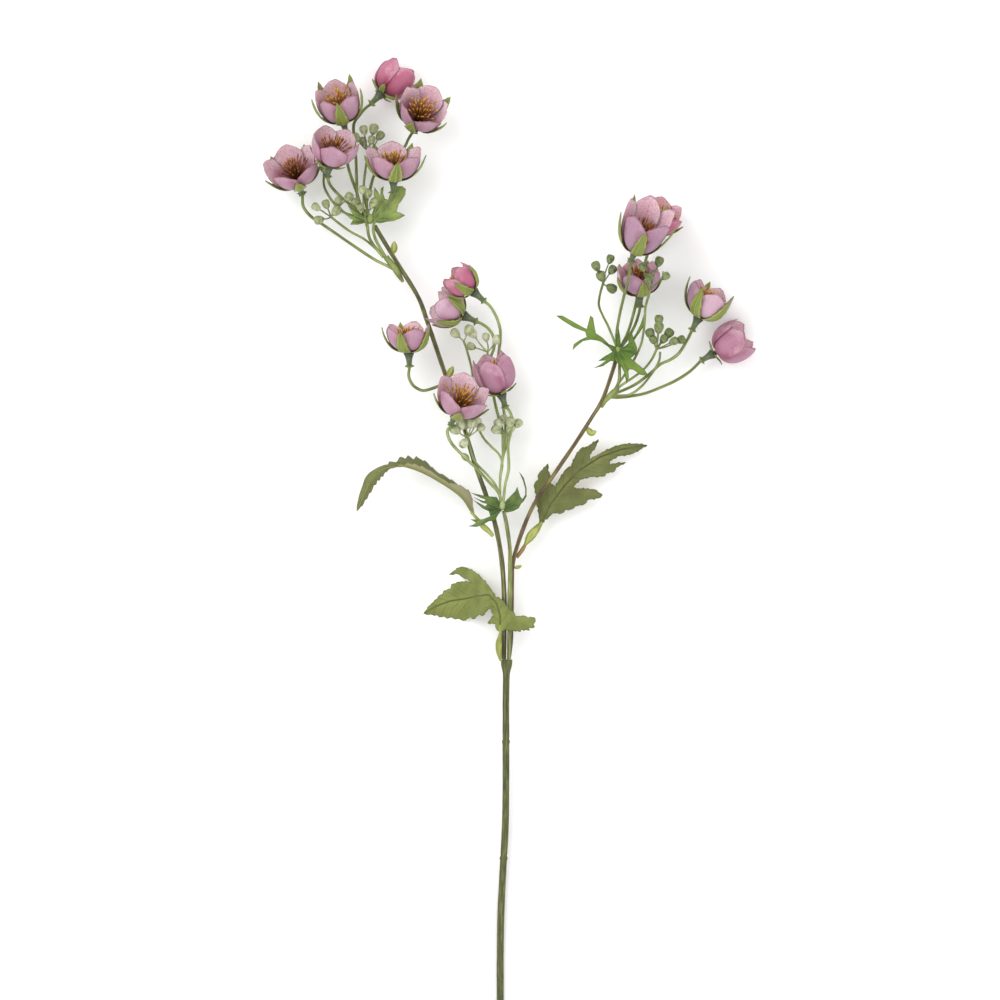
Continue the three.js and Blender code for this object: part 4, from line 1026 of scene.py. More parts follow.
class Dress(Enum):
    """The finishes of everything but the petals."""

    SEPAL = SepalFinish("sepal_green", "#8e9b46", "#b9c378", "#5a6230")
    STAMEN = StamenFinish("stamen_gold", "#5f3018", "#c98a2c", "#e6b54a", "#5a3416")
    STAMEN_RUST = StamenFinish("stamen_rust", "#4f2414", "#a0622c", "#c48436", "#3c1c10")
    STEM = StemFinish("stem_olive", "#5c6031", "#83874c", "#3d4122")
    LEFT_BRANCH = StemFinish("stem_brown_olive", "#6b6a3e", "#95975a", "#444226")
    MIDDLE_BRANCH = StemFinish("stem_light_olive", "#868c50", "#b4b778", "#5a6034")
    RIGHT_BRANCH = StemFinish("stem_red_olive", "#6f5f3a", "#948a52", "#4c3a26")
    STALK = StemFinish("stalk_green", "#808e4c", "#b0bb7a", "#545d32")
    STALK_LIGHT = StemFinish("stalk_light_green", "#9dab6a", "#c9d39a", "#6e7a46")
    SLEEVE = StemFinish("sleeve_yellow_green", "#a4ac52", "#ced28a", "#737834")
    NECK = StemFinish("neck_tan", "#94793f", "#c0a565", "#5f4a2c")
    # The tube's third colour is the painted shade near the petals.
    TUBE = TubeFinish("flower_tube", "#5c6a48", "#8b9768", "#454a44", "#8c9c52")
    LEAF = LeafFinish("leaf_cloth", "#6f7541", "#868b57", "#5e6336", "#898d48", "#40442b", "#b0aa82")
    LEAF_LIGHT = LeafFinish("leaf_light_cloth", "#7f8845", "#97a05d", "#6a7339", "#949a4e", "#4c5432",
                            "#a3a374")
    BRACT = BractFinish("bract_green", "#738a40", "#a3b164", "#455229")
    BRACT_DARK = BractFinish("bract_dark_green", "#57702f", "#869a50", "#334a20")
    BRACT_DEEP = BractFinish("bract_deep_green", "#597722", "#869f40", "#33501a")
    BUD = BudFinish("bud_grey_green", "#97a070", "#cccfa6", "#6e6238", "#5f6642")
    BUD_PALE = BudFinish("bud_pale_green", "#b2b98c", "#e4e6c6", "#8a8156", "#757d58")
    BUD_DARK = BudFinish("bud_dark_green", "#6b7846", "#9ba874", "#54482a", "#3e482a")


class Wardrobe:
    """Makes each finish's material once and hands it out."""

    def __init__(self) -> None:
        """Starts with nothing made."""
        self.made: dict[str, bpy.types.Material] = {}

    def of(self, choice: Dress | PetalDye) -> bpy.types.Material:
        """The material of a choice."""
        if choice.value.name not in self.made:
            self.made[choice.value.name] = choice.value.material()
        return self.made[choice.value.name]


@dataclass
class Workshop:
    """Turns surfaces into Blender pieces that ride on the spray and stand for its CAD nodes."""

    wardrobe: Wardrobe = field(default_factory=Wardrobe)

    def piece(self, name: str, surface: Surface, finish: Dress | PetalDye, slot: str, node: str) -> None:
        """Makes one piece. What would sink into the table is pressed up onto it: a height z becomes
        half of z plus the root of z squared and the softness squared.

        Args:
            name: its name.
            surface: its mesh, in mm.
            finish: which material.
            slot: the record's material slot; not used.
            node: the CAD node that it stands for.
        """
        mesh = bpy.data.meshes.new(name)
        points = surface.points.copy()
        points[:, 2] = (points[:, 2] + np.sqrt(points[:, 2] ** 2 + TABLE_SOFTNESS**2)) / 2
        used = surface.faces >= 0
        corners = surface.faces[used]
        sizes = used.sum(axis=1)
        mesh.vertices.add(len(points))
        mesh.vertices.foreach_set("co", (points * MM).ravel())
        mesh.loops.add(len(corners))
        mesh.loops.foreach_set("vertex_index", corners)
        mesh.polygons.add(len(sizes))
        mesh.polygons.foreach_set("loop_start", np.concatenate([[0], np.cumsum(sizes)[:-1]]))
        mesh.polygons.foreach_set("use_smooth", np.ones(len(sizes), bool))
        mesh.update(calc_edges=True)
        layer = mesh.uv_layers.new(name="surface")
        layer.uv.foreach_set("vector", surface.uv[corners].ravel())
        for key, numbers in (("tone", surface.tone), ("side", surface.side)):
            mesh.attributes.new(key, "FLOAT", "POINT").data.foreach_set("value", numbers)
        mesh.validate()
        mesh.materials.append(self.wardrobe.of(finish))
        piece = bpy.data.objects.new(name, mesh)
        bpy.context.scene.collection.objects.link(piece)
        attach(piece, "root")
        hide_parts(node)
        log.info("%s: %d faces", name, len(mesh.polygons))


# Blooms.


# How far a sepal's half angle, in degrees, falls with the share of the way to its tip.
SEPAL_PLACES = [0, 0.1, 0.16, 0.26, 0.38, 0.5, 0.65, 0.8, 0.92, 1]
SEPAL_ANGLES = [36.5, 36.2, 33, 25.5, 20, 17, 13.5, 9, 4.5, 0.5]

# A stamen's radius at shares of its length, the last four for its knob.
THREAD_PLACES = np.array([0, 0.25, 0.5, 0.75, 0.88, 0.92, 0.98, 1.05, 1.1])
THREAD_RADII = np.array([0.34, 0.32, 0.3, 0.28, 0.28, 0.46, 0.56, 0.46, 0.12])

# How many stamens a bloom shows, and the disc that they stand on.
OPEN_TUFT = 46
CLOSED_TUFT = 16
DISC_RADIUS = 2.3
DISC_HEIGHT = 2.2

# The flower tube as radius and height below the petals, with its collar near the stalk.
TUBE_PROFILE = [[0.95, -13.7], [1.6, -13.2], [2.3, -12.7], [2.6, -12.1], [2.0, -11.5], [1.8, -10.6],
                [1.95, -9], [2.25, -7], [2.8, -5.2], [3.35, -3.8], [3.75, -2.9], [3.3, -2.5]]
COLLAR_HEIGHT = -12.2

# A bud's stations along its axis from its middle, and its radius there.
BUD_REACH = np.array([-4.0, -3.6, -3.0, -2.2, -1.2, -0.1, 1.0, 1.9, 2.6, 3.1, 3.2, 2.8])
BUD_RADII = np.array([0.45, 0.95, 1.6, 2.2, 2.65, 2.85, 2.85, 2.65, 2.25, 1.6, 0.9, 0.3])

# How far a group's buds swing above and below its hub, and a hair's radius at its two ends.
BUD_SWING = 3.2
HAIR_RADII = (0.55, 0.45)


@dataclass
class Bloom:
    """One bloom. seat is where its petals join, axis points out of its cup, turn is where its first
    petal stands, in degrees from the side towards the viewer above. deep, belly and rim are the
    cup's depth and radii, wide is a petal's half angle, calyx the share of the cup that the sepals
    reach and flare how far they stand off, loose how far each petal stands off, and frill how far
    the petals' edges wave, all in mm but the share and the angle."""

    name: str
    seat: list[float]
    axis: list[float]
    turn: float
    deep: float
    belly: float
    rim: float
    wide: float
    calyx: float
    flare: float
    loose: list[float]
    dye: PetalDye = PetalDye.DUSTY
    tuft: Dress = Dress.STAMEN
    frill: float = 0.65

    @property
    def seed(self) -> int:
        """A number of its own for its random draws."""
        return sum(ord(letter) * (k + 3) for k, letter in enumerate(self.name))

    def turning(self) -> Array:
        """Its own axes as columns: towards the viewer, across, and out of the cup."""
        up = unit(np.array(self.axis, float))
        front = unit(np.array([0, 0, 1.0]) - up[2] * up)
        return np.column_stack([front, np.cross(up, front), up])

    def tube_end(self) -> list[float]:
        """Where its stalk meets the flower tube."""
        return (np.array(self.seat) - TUBE_LENGTH * self.turning()[:, 2]).tolist()

    def section(self, s: Array) -> tuple[Array, Array, Array, Array]:
        """The cup's wall in section, a cubic Bezier curve from the core to the rim.

        Args:
            s: share of the way, in an array of any shape.

        Returns:
            Radius, height, and the two parts of the outward normal.
        """
        control = np.array([[CORE_RADIUS, 0], [self.belly * 0.95, 0],
                            [self.belly * 1.15, self.deep * 0.62], [self.rim, self.deep]])
        q = 1 - s
        weights = np.stack([q**3, 3 * q * q * s, 3 * q * s * s, s**3], axis=-1)
        middles = 3 * q * q - 6 * q * s, 6 * q * s - 3 * s * s
        slopes = np.stack([-3 * q * q, *middles, 3 * s * s], axis=-1)
        at, along = weights @ control, unit(slopes @ control)
        return at[..., 0], at[..., 1], along[..., 1], -along[..., 0]

    def cup(self, s: Array, angle: Array, lift: Array, drop: Array | float = 0.0) -> Array:
        """Points on the cup: at share s and an angle, pushed out by lift and down by drop."""
        radius, height, out, over = self.section(s)
        reach = radius + out * lift
        return np.stack([reach * np.cos(angle), reach * np.sin(angle), height + over * lift - drop], axis=-1)

    def stands(self, number: float) -> float:
        """The angle at which a petal stands, or with a half in its number a sepal."""
        return math.radians(self.turn + 360 / PETALS * number)

    def petal(self, number: int) -> Surface:
        """One petal: a sheet on the cup, round-tipped, bulged, with one edge over its neighbour.

        Its half angle is the bloom's width times the 0.4th power of 1 less the cube of
        (s - 0.5) / 0.56, so that it is full for most of the way. Its tip is rounded by drawing
        its corners back, and its edge waves by a few sines.

        Args:
            number: which petal.

        Returns:
            The petal in the bloom's own frame.
        """
        rng = np.random.default_rng(self.seed + number)
        rows, columns = PETAL_GRID
        across = np.sin(np.linspace(-1, 1, columns) * math.pi / 2)
        v, t = np.meshgrid(np.linspace(0, 1, rows), across, indexing="ij")
        s = v * (1.03 - 0.19 * np.abs(t) ** 2.1 * v)
        reach = math.radians(self.wide + 1) * (1 - np.abs((s - 0.5) / 0.56) ** 3) ** 0.4
        skew = math.radians(rng.uniform(-2.5, 2.5)) * s
        angle = self.stands(number) + t * reach + skew
        edge_wave = self.frill * s**3 * waves(t * 2.8 + v * 1.5, self.seed * 7 + number)
        edge_wave = edge_wave + 0.14 * s**6 * np.sin(t * 13 + self.seed + number)
        bulge = 0.9 * (1 - t * t) * np.sin(np.minimum(s, 1) * math.pi) ** 0.8
        roll = rng.uniform(0.4, 1.3) * s**7
        lap = LAP * t * np.minimum(1, s / 0.3)
        lift = lap + self.loose[number] * s * s + edge_wave + bulge + roll
        notch = 0.5 * bell((t - rng.uniform(-0.3, 0.3)) / 0.12) * s**8
        notch = notch + 0.22 * s**6 * waves(t * 6, self.seed + 31 * number)
        drop = self.deep * 0.06 * t * t * s**3 + notch
        middle = self.cup(s, angle, lift, drop)
        outer = middle * np.array([1, 1, 0])
        thickness = PETAL_THICKNESS * (1 - 0.5 * np.maximum(np.abs(t) ** 6, v**10))
        uv = np.stack([(t + 1) / 2, v], axis=-1)
        return plate(middle, thickness, uv, rng.uniform(0, 1), outer)

    def sepal(self, number: int) -> Surface:
        """One sepal: a pointed sheet outside the cup, keeled along its middle, its tip turned out.

        Args:
            number: which sepal; it stands between two petals.

        Returns:
            The sepal in the bloom's own frame.
        """
        rng = np.random.default_rng(self.seed * 3 + number)
        rows, columns = SEPAL_GRID
        v, t = np.meshgrid(np.linspace(0, 1, rows), np.linspace(-1, 1, columns), indexing="ij")
        widths = np.interp(v, SEPAL_PLACES, SEPAL_ANGLES)
        teeth = 1 + 0.1 * np.sin(v * 34 + rng.uniform(0, 6)) * smooth_step(0.25, 0.5, v)
        s = v * self.calyx
        angle = self.stands(number + 0.5) + t * np.radians(widths) * teeth
        tip_turn = (0.9 + rng.uniform(-0.5, 0.9)) * v**4
        keel = 0.45 * (1 - np.abs(t)) ** 1.5 * smooth_step(0.1, 0.4, v)
        wave = 0.3 * waves(v * 3 + t, self.seed + number)
        lift = SEPAL_OFFSET + self.flare * s * s + tip_turn + keel + wave
        middle = self.cup(s, angle + 0.05 * v * v * rng.uniform(-1, 1), lift)
        core = np.clip(v / 0.06, 0.05, 1)[..., None]
        middle = middle * np.concatenate([core, core, np.ones_like(core)], axis=-1)
        thickness = SEPAL_THICKNESS * (1 - 0.55 * np.abs(t) ** 3)
        outer = middle * np.array([1, 1, 0]) - np.array([0, 0, 1.0])
        uv = np.stack([(t + 1) / 2, v], axis=-1)
        return plate(middle, thickness, uv, rng.uniform(0, 1), outer)

    def stamens(self) -> Surface:
        """The tuft: threads on a sunflower spiral that lean out with their place, each with a knob.

        A thread's point at share a is its root plus its rise times a and its lean times a to 1.4.

        Returns:
            The threads and the dome that they stand on, in the bloom's own frame.
        """
        rng = np.random.default_rng(self.seed * 5)
        closed = self.rim < self.belly * 0.93
        count = CLOSED_TUFT if closed else OPEN_TUFT
        order = (np.arange(count) + 0.5) / count
        angle = np.arange(count) * GOLDEN_ANGLE
        root = 2.1 * np.sqrt(order)
        length = min(self.deep, 24) * (0.84 - 0.18 * order) * rng.uniform(0.84, 1.1, count)
        lean = (0.06 + 0.62 * order * (0.3 if closed else 1.0)) * rng.uniform(0.7, 1.3, count) * length
        sway = rng.normal(0, 0.35, (count, 1)) * THREAD_PLACES**2
        reach = root[:, None] + lean[:, None] * THREAD_PLACES**1.4
        turn = angle[:, None] + sway * 0.25
        height = 0.8 + length[:, None] * THREAD_PLACES
        paths = np.stack([reach * np.cos(turn), reach * np.sin(turn), height], axis=-1)
        threads = sweep(paths, THREAD_RADII, 5, rng.uniform(0, 1, count))
        rise = np.linspace(0, 1, 7)
        bumps = 1 + 0.08 * np.cos(ring_angles(14) * 7)
        swell = DISC_RADIUS * np.sqrt(1 - (rise * 0.97) ** 2)
        dome = sweep(upright(0.4 + DISC_HEIGHT * rise)[None], swell[None, :, None] * bumps, 14)
        dome.uv[:, 1] *= 0.35
        return joined([dome, threads])

    def tube(self) -> Surface:
        """The dark flower tube with its ragged collar, in the bloom's own frame."""
        sides = 20
        fine = smooth_path([[*place, 0] for place in TUBE_PROFILE], 0.45)
        angle = ring_angles(sides)
        collar = bell((fine[:, 1] - COLLAR_HEIGHT) / 0.55)[:, None]
        teeth = np.abs(np.sin(2.5 * angle + self.seed)) ** 3 * (1 + 0.4 * waves(angle * 2, self.seed))
        ragged = 1 + collar * (0.55 * teeth - 0.1) + 0.05 * np.cos(5 * angle)
        return sweep(upright(fine[:, 1])[None], (fine[:, :1] * ragged)[None], sides)

    def placed(self, surface: Surface) -> Surface:
        """Carries a surface from the bloom's own frame into the spray's."""
        return surface.moved(self.turning(), np.array(self.seat, float))

    def build(self, shop: Workshop) -> None:
        """Makes the petals, sepals and stamens.

        Args:
            shop: makes the pieces.
        """
        petals = joined([self.petal(k) for k in range(PETALS)])
        sepals = joined([self.sepal(k) for k in range(PETALS)])
        for slot, surface, finish in (("petal", petals, self.dye), ("sepal", sepals, Dress.SEPAL),
                                      ("stamen", self.stamens(), self.tuft)):
            node = f"bloom_{self.name}_{slot}s"
            shop.piece(f"{node}_fine", self.placed(surface), finish, slot, node)


BLOOMS = [
    Bloom("a1", [-117, 289, 30], [-0.19, 0.79, 0.57], -38, 22.5, 14, 13.2, 42, 1, 2.2, [0, 0.5, 0, 0.5, 0]),
    Bloom("a2", [-88.5, 307.5, 18.7], [0.66, 0.69, -0.3], -50, 20.5, 13, 12, 42, 0.3, 0.5, [0.5, 1, 0, 0, 0],
        PetalDye.ROSE, frill=1.7),
    Bloom("a3", [-64.3, 286.8, 28], [0.26, 0.57, 0.78], 30, 20, 14.5, 15.2, 42, 0.98, 2.5, [0, 0.5, 1, 0, 0]),
    Bloom("a4", [-148.5, 245, 20], [-0.25, 0.72, 0.65], -35, 19, 15.5, 16.8, 38, 0.84, 1.6,
        [0, 0, 0, 0, 1.5], tuft=Dress.STAMEN_RUST),
    Bloom("a5", [-125, 258, 38], [0.2, 0.84, 0.5], 3, 19.5, 14.5, 15, 40, 0.5, 0.8, [0.5, 1, 0, 0, 0],
        tuft=Dress.STAMEN_RUST),
    Bloom("a6", [-81, 247.8, 34], [0.03, 0.93, 0.36], -31, 19, 16, 18, 38, 0.95, 1.5, [0, 0, 0, 0, 0.5]),
    Bloom("b1", [-27, 168.5, 45], [-0.74, 0.66, 0.12], 20, 17.5, 11.2, 8.5, 45, 0.78, 0.4, [0, 0, 0, 0, 0],
        PetalDye.ROSE),
    Bloom("b2", [-34.5, 151.5, 25], [-0.9, 0.42, 0.1], -10, 19, 12.5, 11, 42, 0.78, 1.6, [0, 0, 0, 0, 1.5],
        PetalDye.PALE),
    Bloom("b3", [-70.5, 127, 36], [-0.04, 0.98, 0.2], 17, 16.2, 13.2, 13.8, 38, 0.95, 0.8, [0, 0, 0, 0, 0.5]),
    Bloom("b4", [-37, 83.5, 40.5], [0.3, 0.78, 0.55], -28, 20.5, 15.5, 17, 39, 0.75, 1.5, [0, 1.5, 0, 0, 0]),
    Bloom("b5", [-6.5, 98, 28.5], [-0.3, 0.93, 0.2], -20, 24.5, 13.9, 10.5, 45, 0.3, 0.5,
        [0, 0, 0.5, 0, 0.5], PetalDye.BLUSH),
    Bloom("c1", [88.5, 197.5, 52], [0.28, 0.72, 0.6], -28, 34, 14.6, 15.5, 42, 0.9, 2.6, [0, 0, 0.5, 0, 0],
        PetalDye.MAUVE, tuft=Dress.STAMEN_RUST),
    Bloom("c2", [102.5, 211, 15], [0.25, 0.8, 0.54], 46, 18, 12.8, 13.5, 42, 0.7, 1, [1.5, 0, 0, 0, 0],
        PetalDye.ROSE),
    Bloom("c3", [91, 168, 22], [-0.04, 0.89, 0.45], -25, 18, 13.5, 12.7, 40, 0.85, 0.6, [0, 0, 0, 0, 0.5],
        PetalDye.MAUVE, tuft=Dress.STAMEN_RUST),
    Bloom("c4", [133.5, 151.2, 24], [0.45, 0.87, 0.2], 15, 20, 14, 14, 39, 0.98, 1.1, [0, 0.5, 0, 0, 0.5],
        PetalDye.MAUVE),
    Bloom("c5", [145.3, 125.5, 13.3], [0.85, 0.5, 0.12], -5, 23.5, 14, 11.8, 43, 0.2, 0.3,
        [0, 0, 0, 0.5, 0.5], PetalDye.BLUSH),
]
BLOOM_BY_NAME = {bloom.name: bloom for bloom in BLOOMS}


# Sprays.


def no_rows() -> list:
    """An empty list for a field that may be left out."""
    return field(default_factory=list)


@dataclass
class Stalk:
    """A stalk through a route; one that carries a bloom starts at its flower tube."""

    route: Points
    bloom: str = ""
    radius: float = STALK_RADIUS

    def surface(self, seed: int) -> Surface:
        """The stalk's tube."""
        start = [BLOOM_BY_NAME[self.bloom].tube_end()] if self.bloom else []
        return stem_tube(start + self.route, self.radius, self.radius, seed, 10, 1.6)


@dataclass
class BudGroup:
    """Buds that fan out of a hub on hair-thin stalks, by turns nearer the viewer and farther off."""

    hub: list[float]
    buds: Points

    def heads(self) -> Array:
        """Middles of the buds: each one's height swings as a sine of its number."""
        flat = np.array(self.buds, float)
        swing = BUD_SWING * np.sin(2.4 * np.arange(len(flat)) + 0.6)
        return np.column_stack([flat, self.hub[2] + swing])

    def surfaces(self, seed: int) -> tuple[Surface, Surface]:
        """The hairs and the bud bodies: fluted capsules with a rim and a dent at the end."""
        rng = np.random.default_rng(seed)
        heads, hub = self.heads(), np.array(self.hub)
        along = unit(heads - hub)
        count = len(heads)
        share = np.linspace(0, 1, 9)
        bow = np.cross(along, [0, 0, 1.0]) * rng.normal(0, 0.5, (count, 1))
        paths = hub + (heads - along * 2.6 - hub)[:, None] * share[:, None]
        paths = paths + bow[:, None] * np.sin(share * math.pi)[:, None]
        hairs = sweep(paths, np.linspace(*HAIR_RADII, 9), 6, rng.uniform(0, 1, count), in_cm=True)
        sides = 16
        ridges = 0.11 * np.cos(4 * ring_angles(sides))[None, None]
        flute = 1 + ridges * smooth_step(-2, 1.5, BUD_REACH)[None, :, None]
        scale = rng.uniform(0.9, 1.16, (count, 1, 1))
        paths = heads[:, None] + along[:, None] * BUD_REACH[:, None] * scale
        radii = BUD_RADII[None, :, None] * flute * scale
        return hairs, sweep(paths, radii, sides, rng.uniform(0, 1, count))


@dataclass
class Bract:
    """A cut green bract whose height rises and then droops with distance from its foot."""

    outline: Points
    height: float
    rise: float = 0.12
    droop: float = 0.0035

    def surface(self, seed: int) -> Surface:
        """The blade, with a soft wave and an edge that turns up a little."""
        cut = Cut(np.array(self.outline, float), BRACT_NET)
        rel = cut.flat - np.array(self.outline[0])
        far = np.hypot(rel[:, 0], rel[:, 1])
        angle = np.arctan2(rel[:, 1], rel[:, 0])
        fold = 0.35 * np.cos(9 * angle + seed) * smooth_step(2, 9, far)
        curl = 0.5 * smooth_step(2.0, 0.0, cut.to_edge) * smooth_step(3, 10, far)
        height = self.height + self.rise * far - self.droop * far * far - BRACT_THICKNESS / 2 + fold + curl
        thickness = thinned(BRACT_THICKNESS, 0.55, 1.5, cut.to_edge)
        return cut.solid(height, thickness, np.column_stack([angle, far / 10]))


@dataclass
class Spray:
    """All that one branch carries but its blooms."""

    node: str
    stalks: list[Stalk]
    webs: list[tuple[Points, list[float]]] = no_rows()
    knobs: list[tuple[list[float], float]] = no_rows()
    scales: list[Points] = no_rows()
    groups: list[BudGroup] = no_rows()
    bracts: list[Bract] = no_rows()
    bract_dress: Dress = Dress.BRACT
    stalk_dress: Dress = Dress.STALK
    bud_dress: Dress = Dress.BUD

    def knob(self, at: list[float], radius: float) -> Surface:
        """A small swelling where stalks meet: its radii follow an ellipse."""
        rise = np.linspace(-1, 1, 9)
        path = np.array(at) + np.outer(rise * radius * 0.95, [0.1, 1, 0.05])
        return sweep(path[None], (radius * 0.8 * np.sqrt(1 - (rise * 0.96) ** 2))[None], 12)

    def build(self, shop: Workshop) -> None:
        """Makes the stalks, flower tubes, buds and bracts.

        Args:
            shop: makes the pieces.
        """
        stalks = [stalk.surface(k) for k, stalk in enumerate(self.stalks)]
        stalks += [shaped_tube(route, radii) for route, radii in self.webs]
        stalks += [self.knob(at, radius) for at, radius in self.knobs]
        stalks += [scale_leaf(route) for route in self.scales]
        buds = [group.surfaces(17 * k + 5) for k, group in enumerate(self.groups)]
        stalks += [hairs for hairs, _ in buds]
        blooms = [BLOOM_BY_NAME[stalk.bloom] for stalk in self.stalks if stalk.bloom]
        tubes = [bloom.placed(bloom.tube()) for bloom in blooms]
        bracts = [bract.surface(k) for k, bract in enumerate(self.bracts)]
        for kind, parts, dress in (("stalks", stalks, self.stalk_dress), ("flower_tubes", tubes, Dress.TUBE),
                                   ("buds", [bodies for _, bodies in buds], self.bud_dress),
                                   ("bracts", bracts, self.bract_dress)):
            if parts:
                shop.piece(f"{self.node}_{kind}", joined(parts), dress, "spray", self.node)


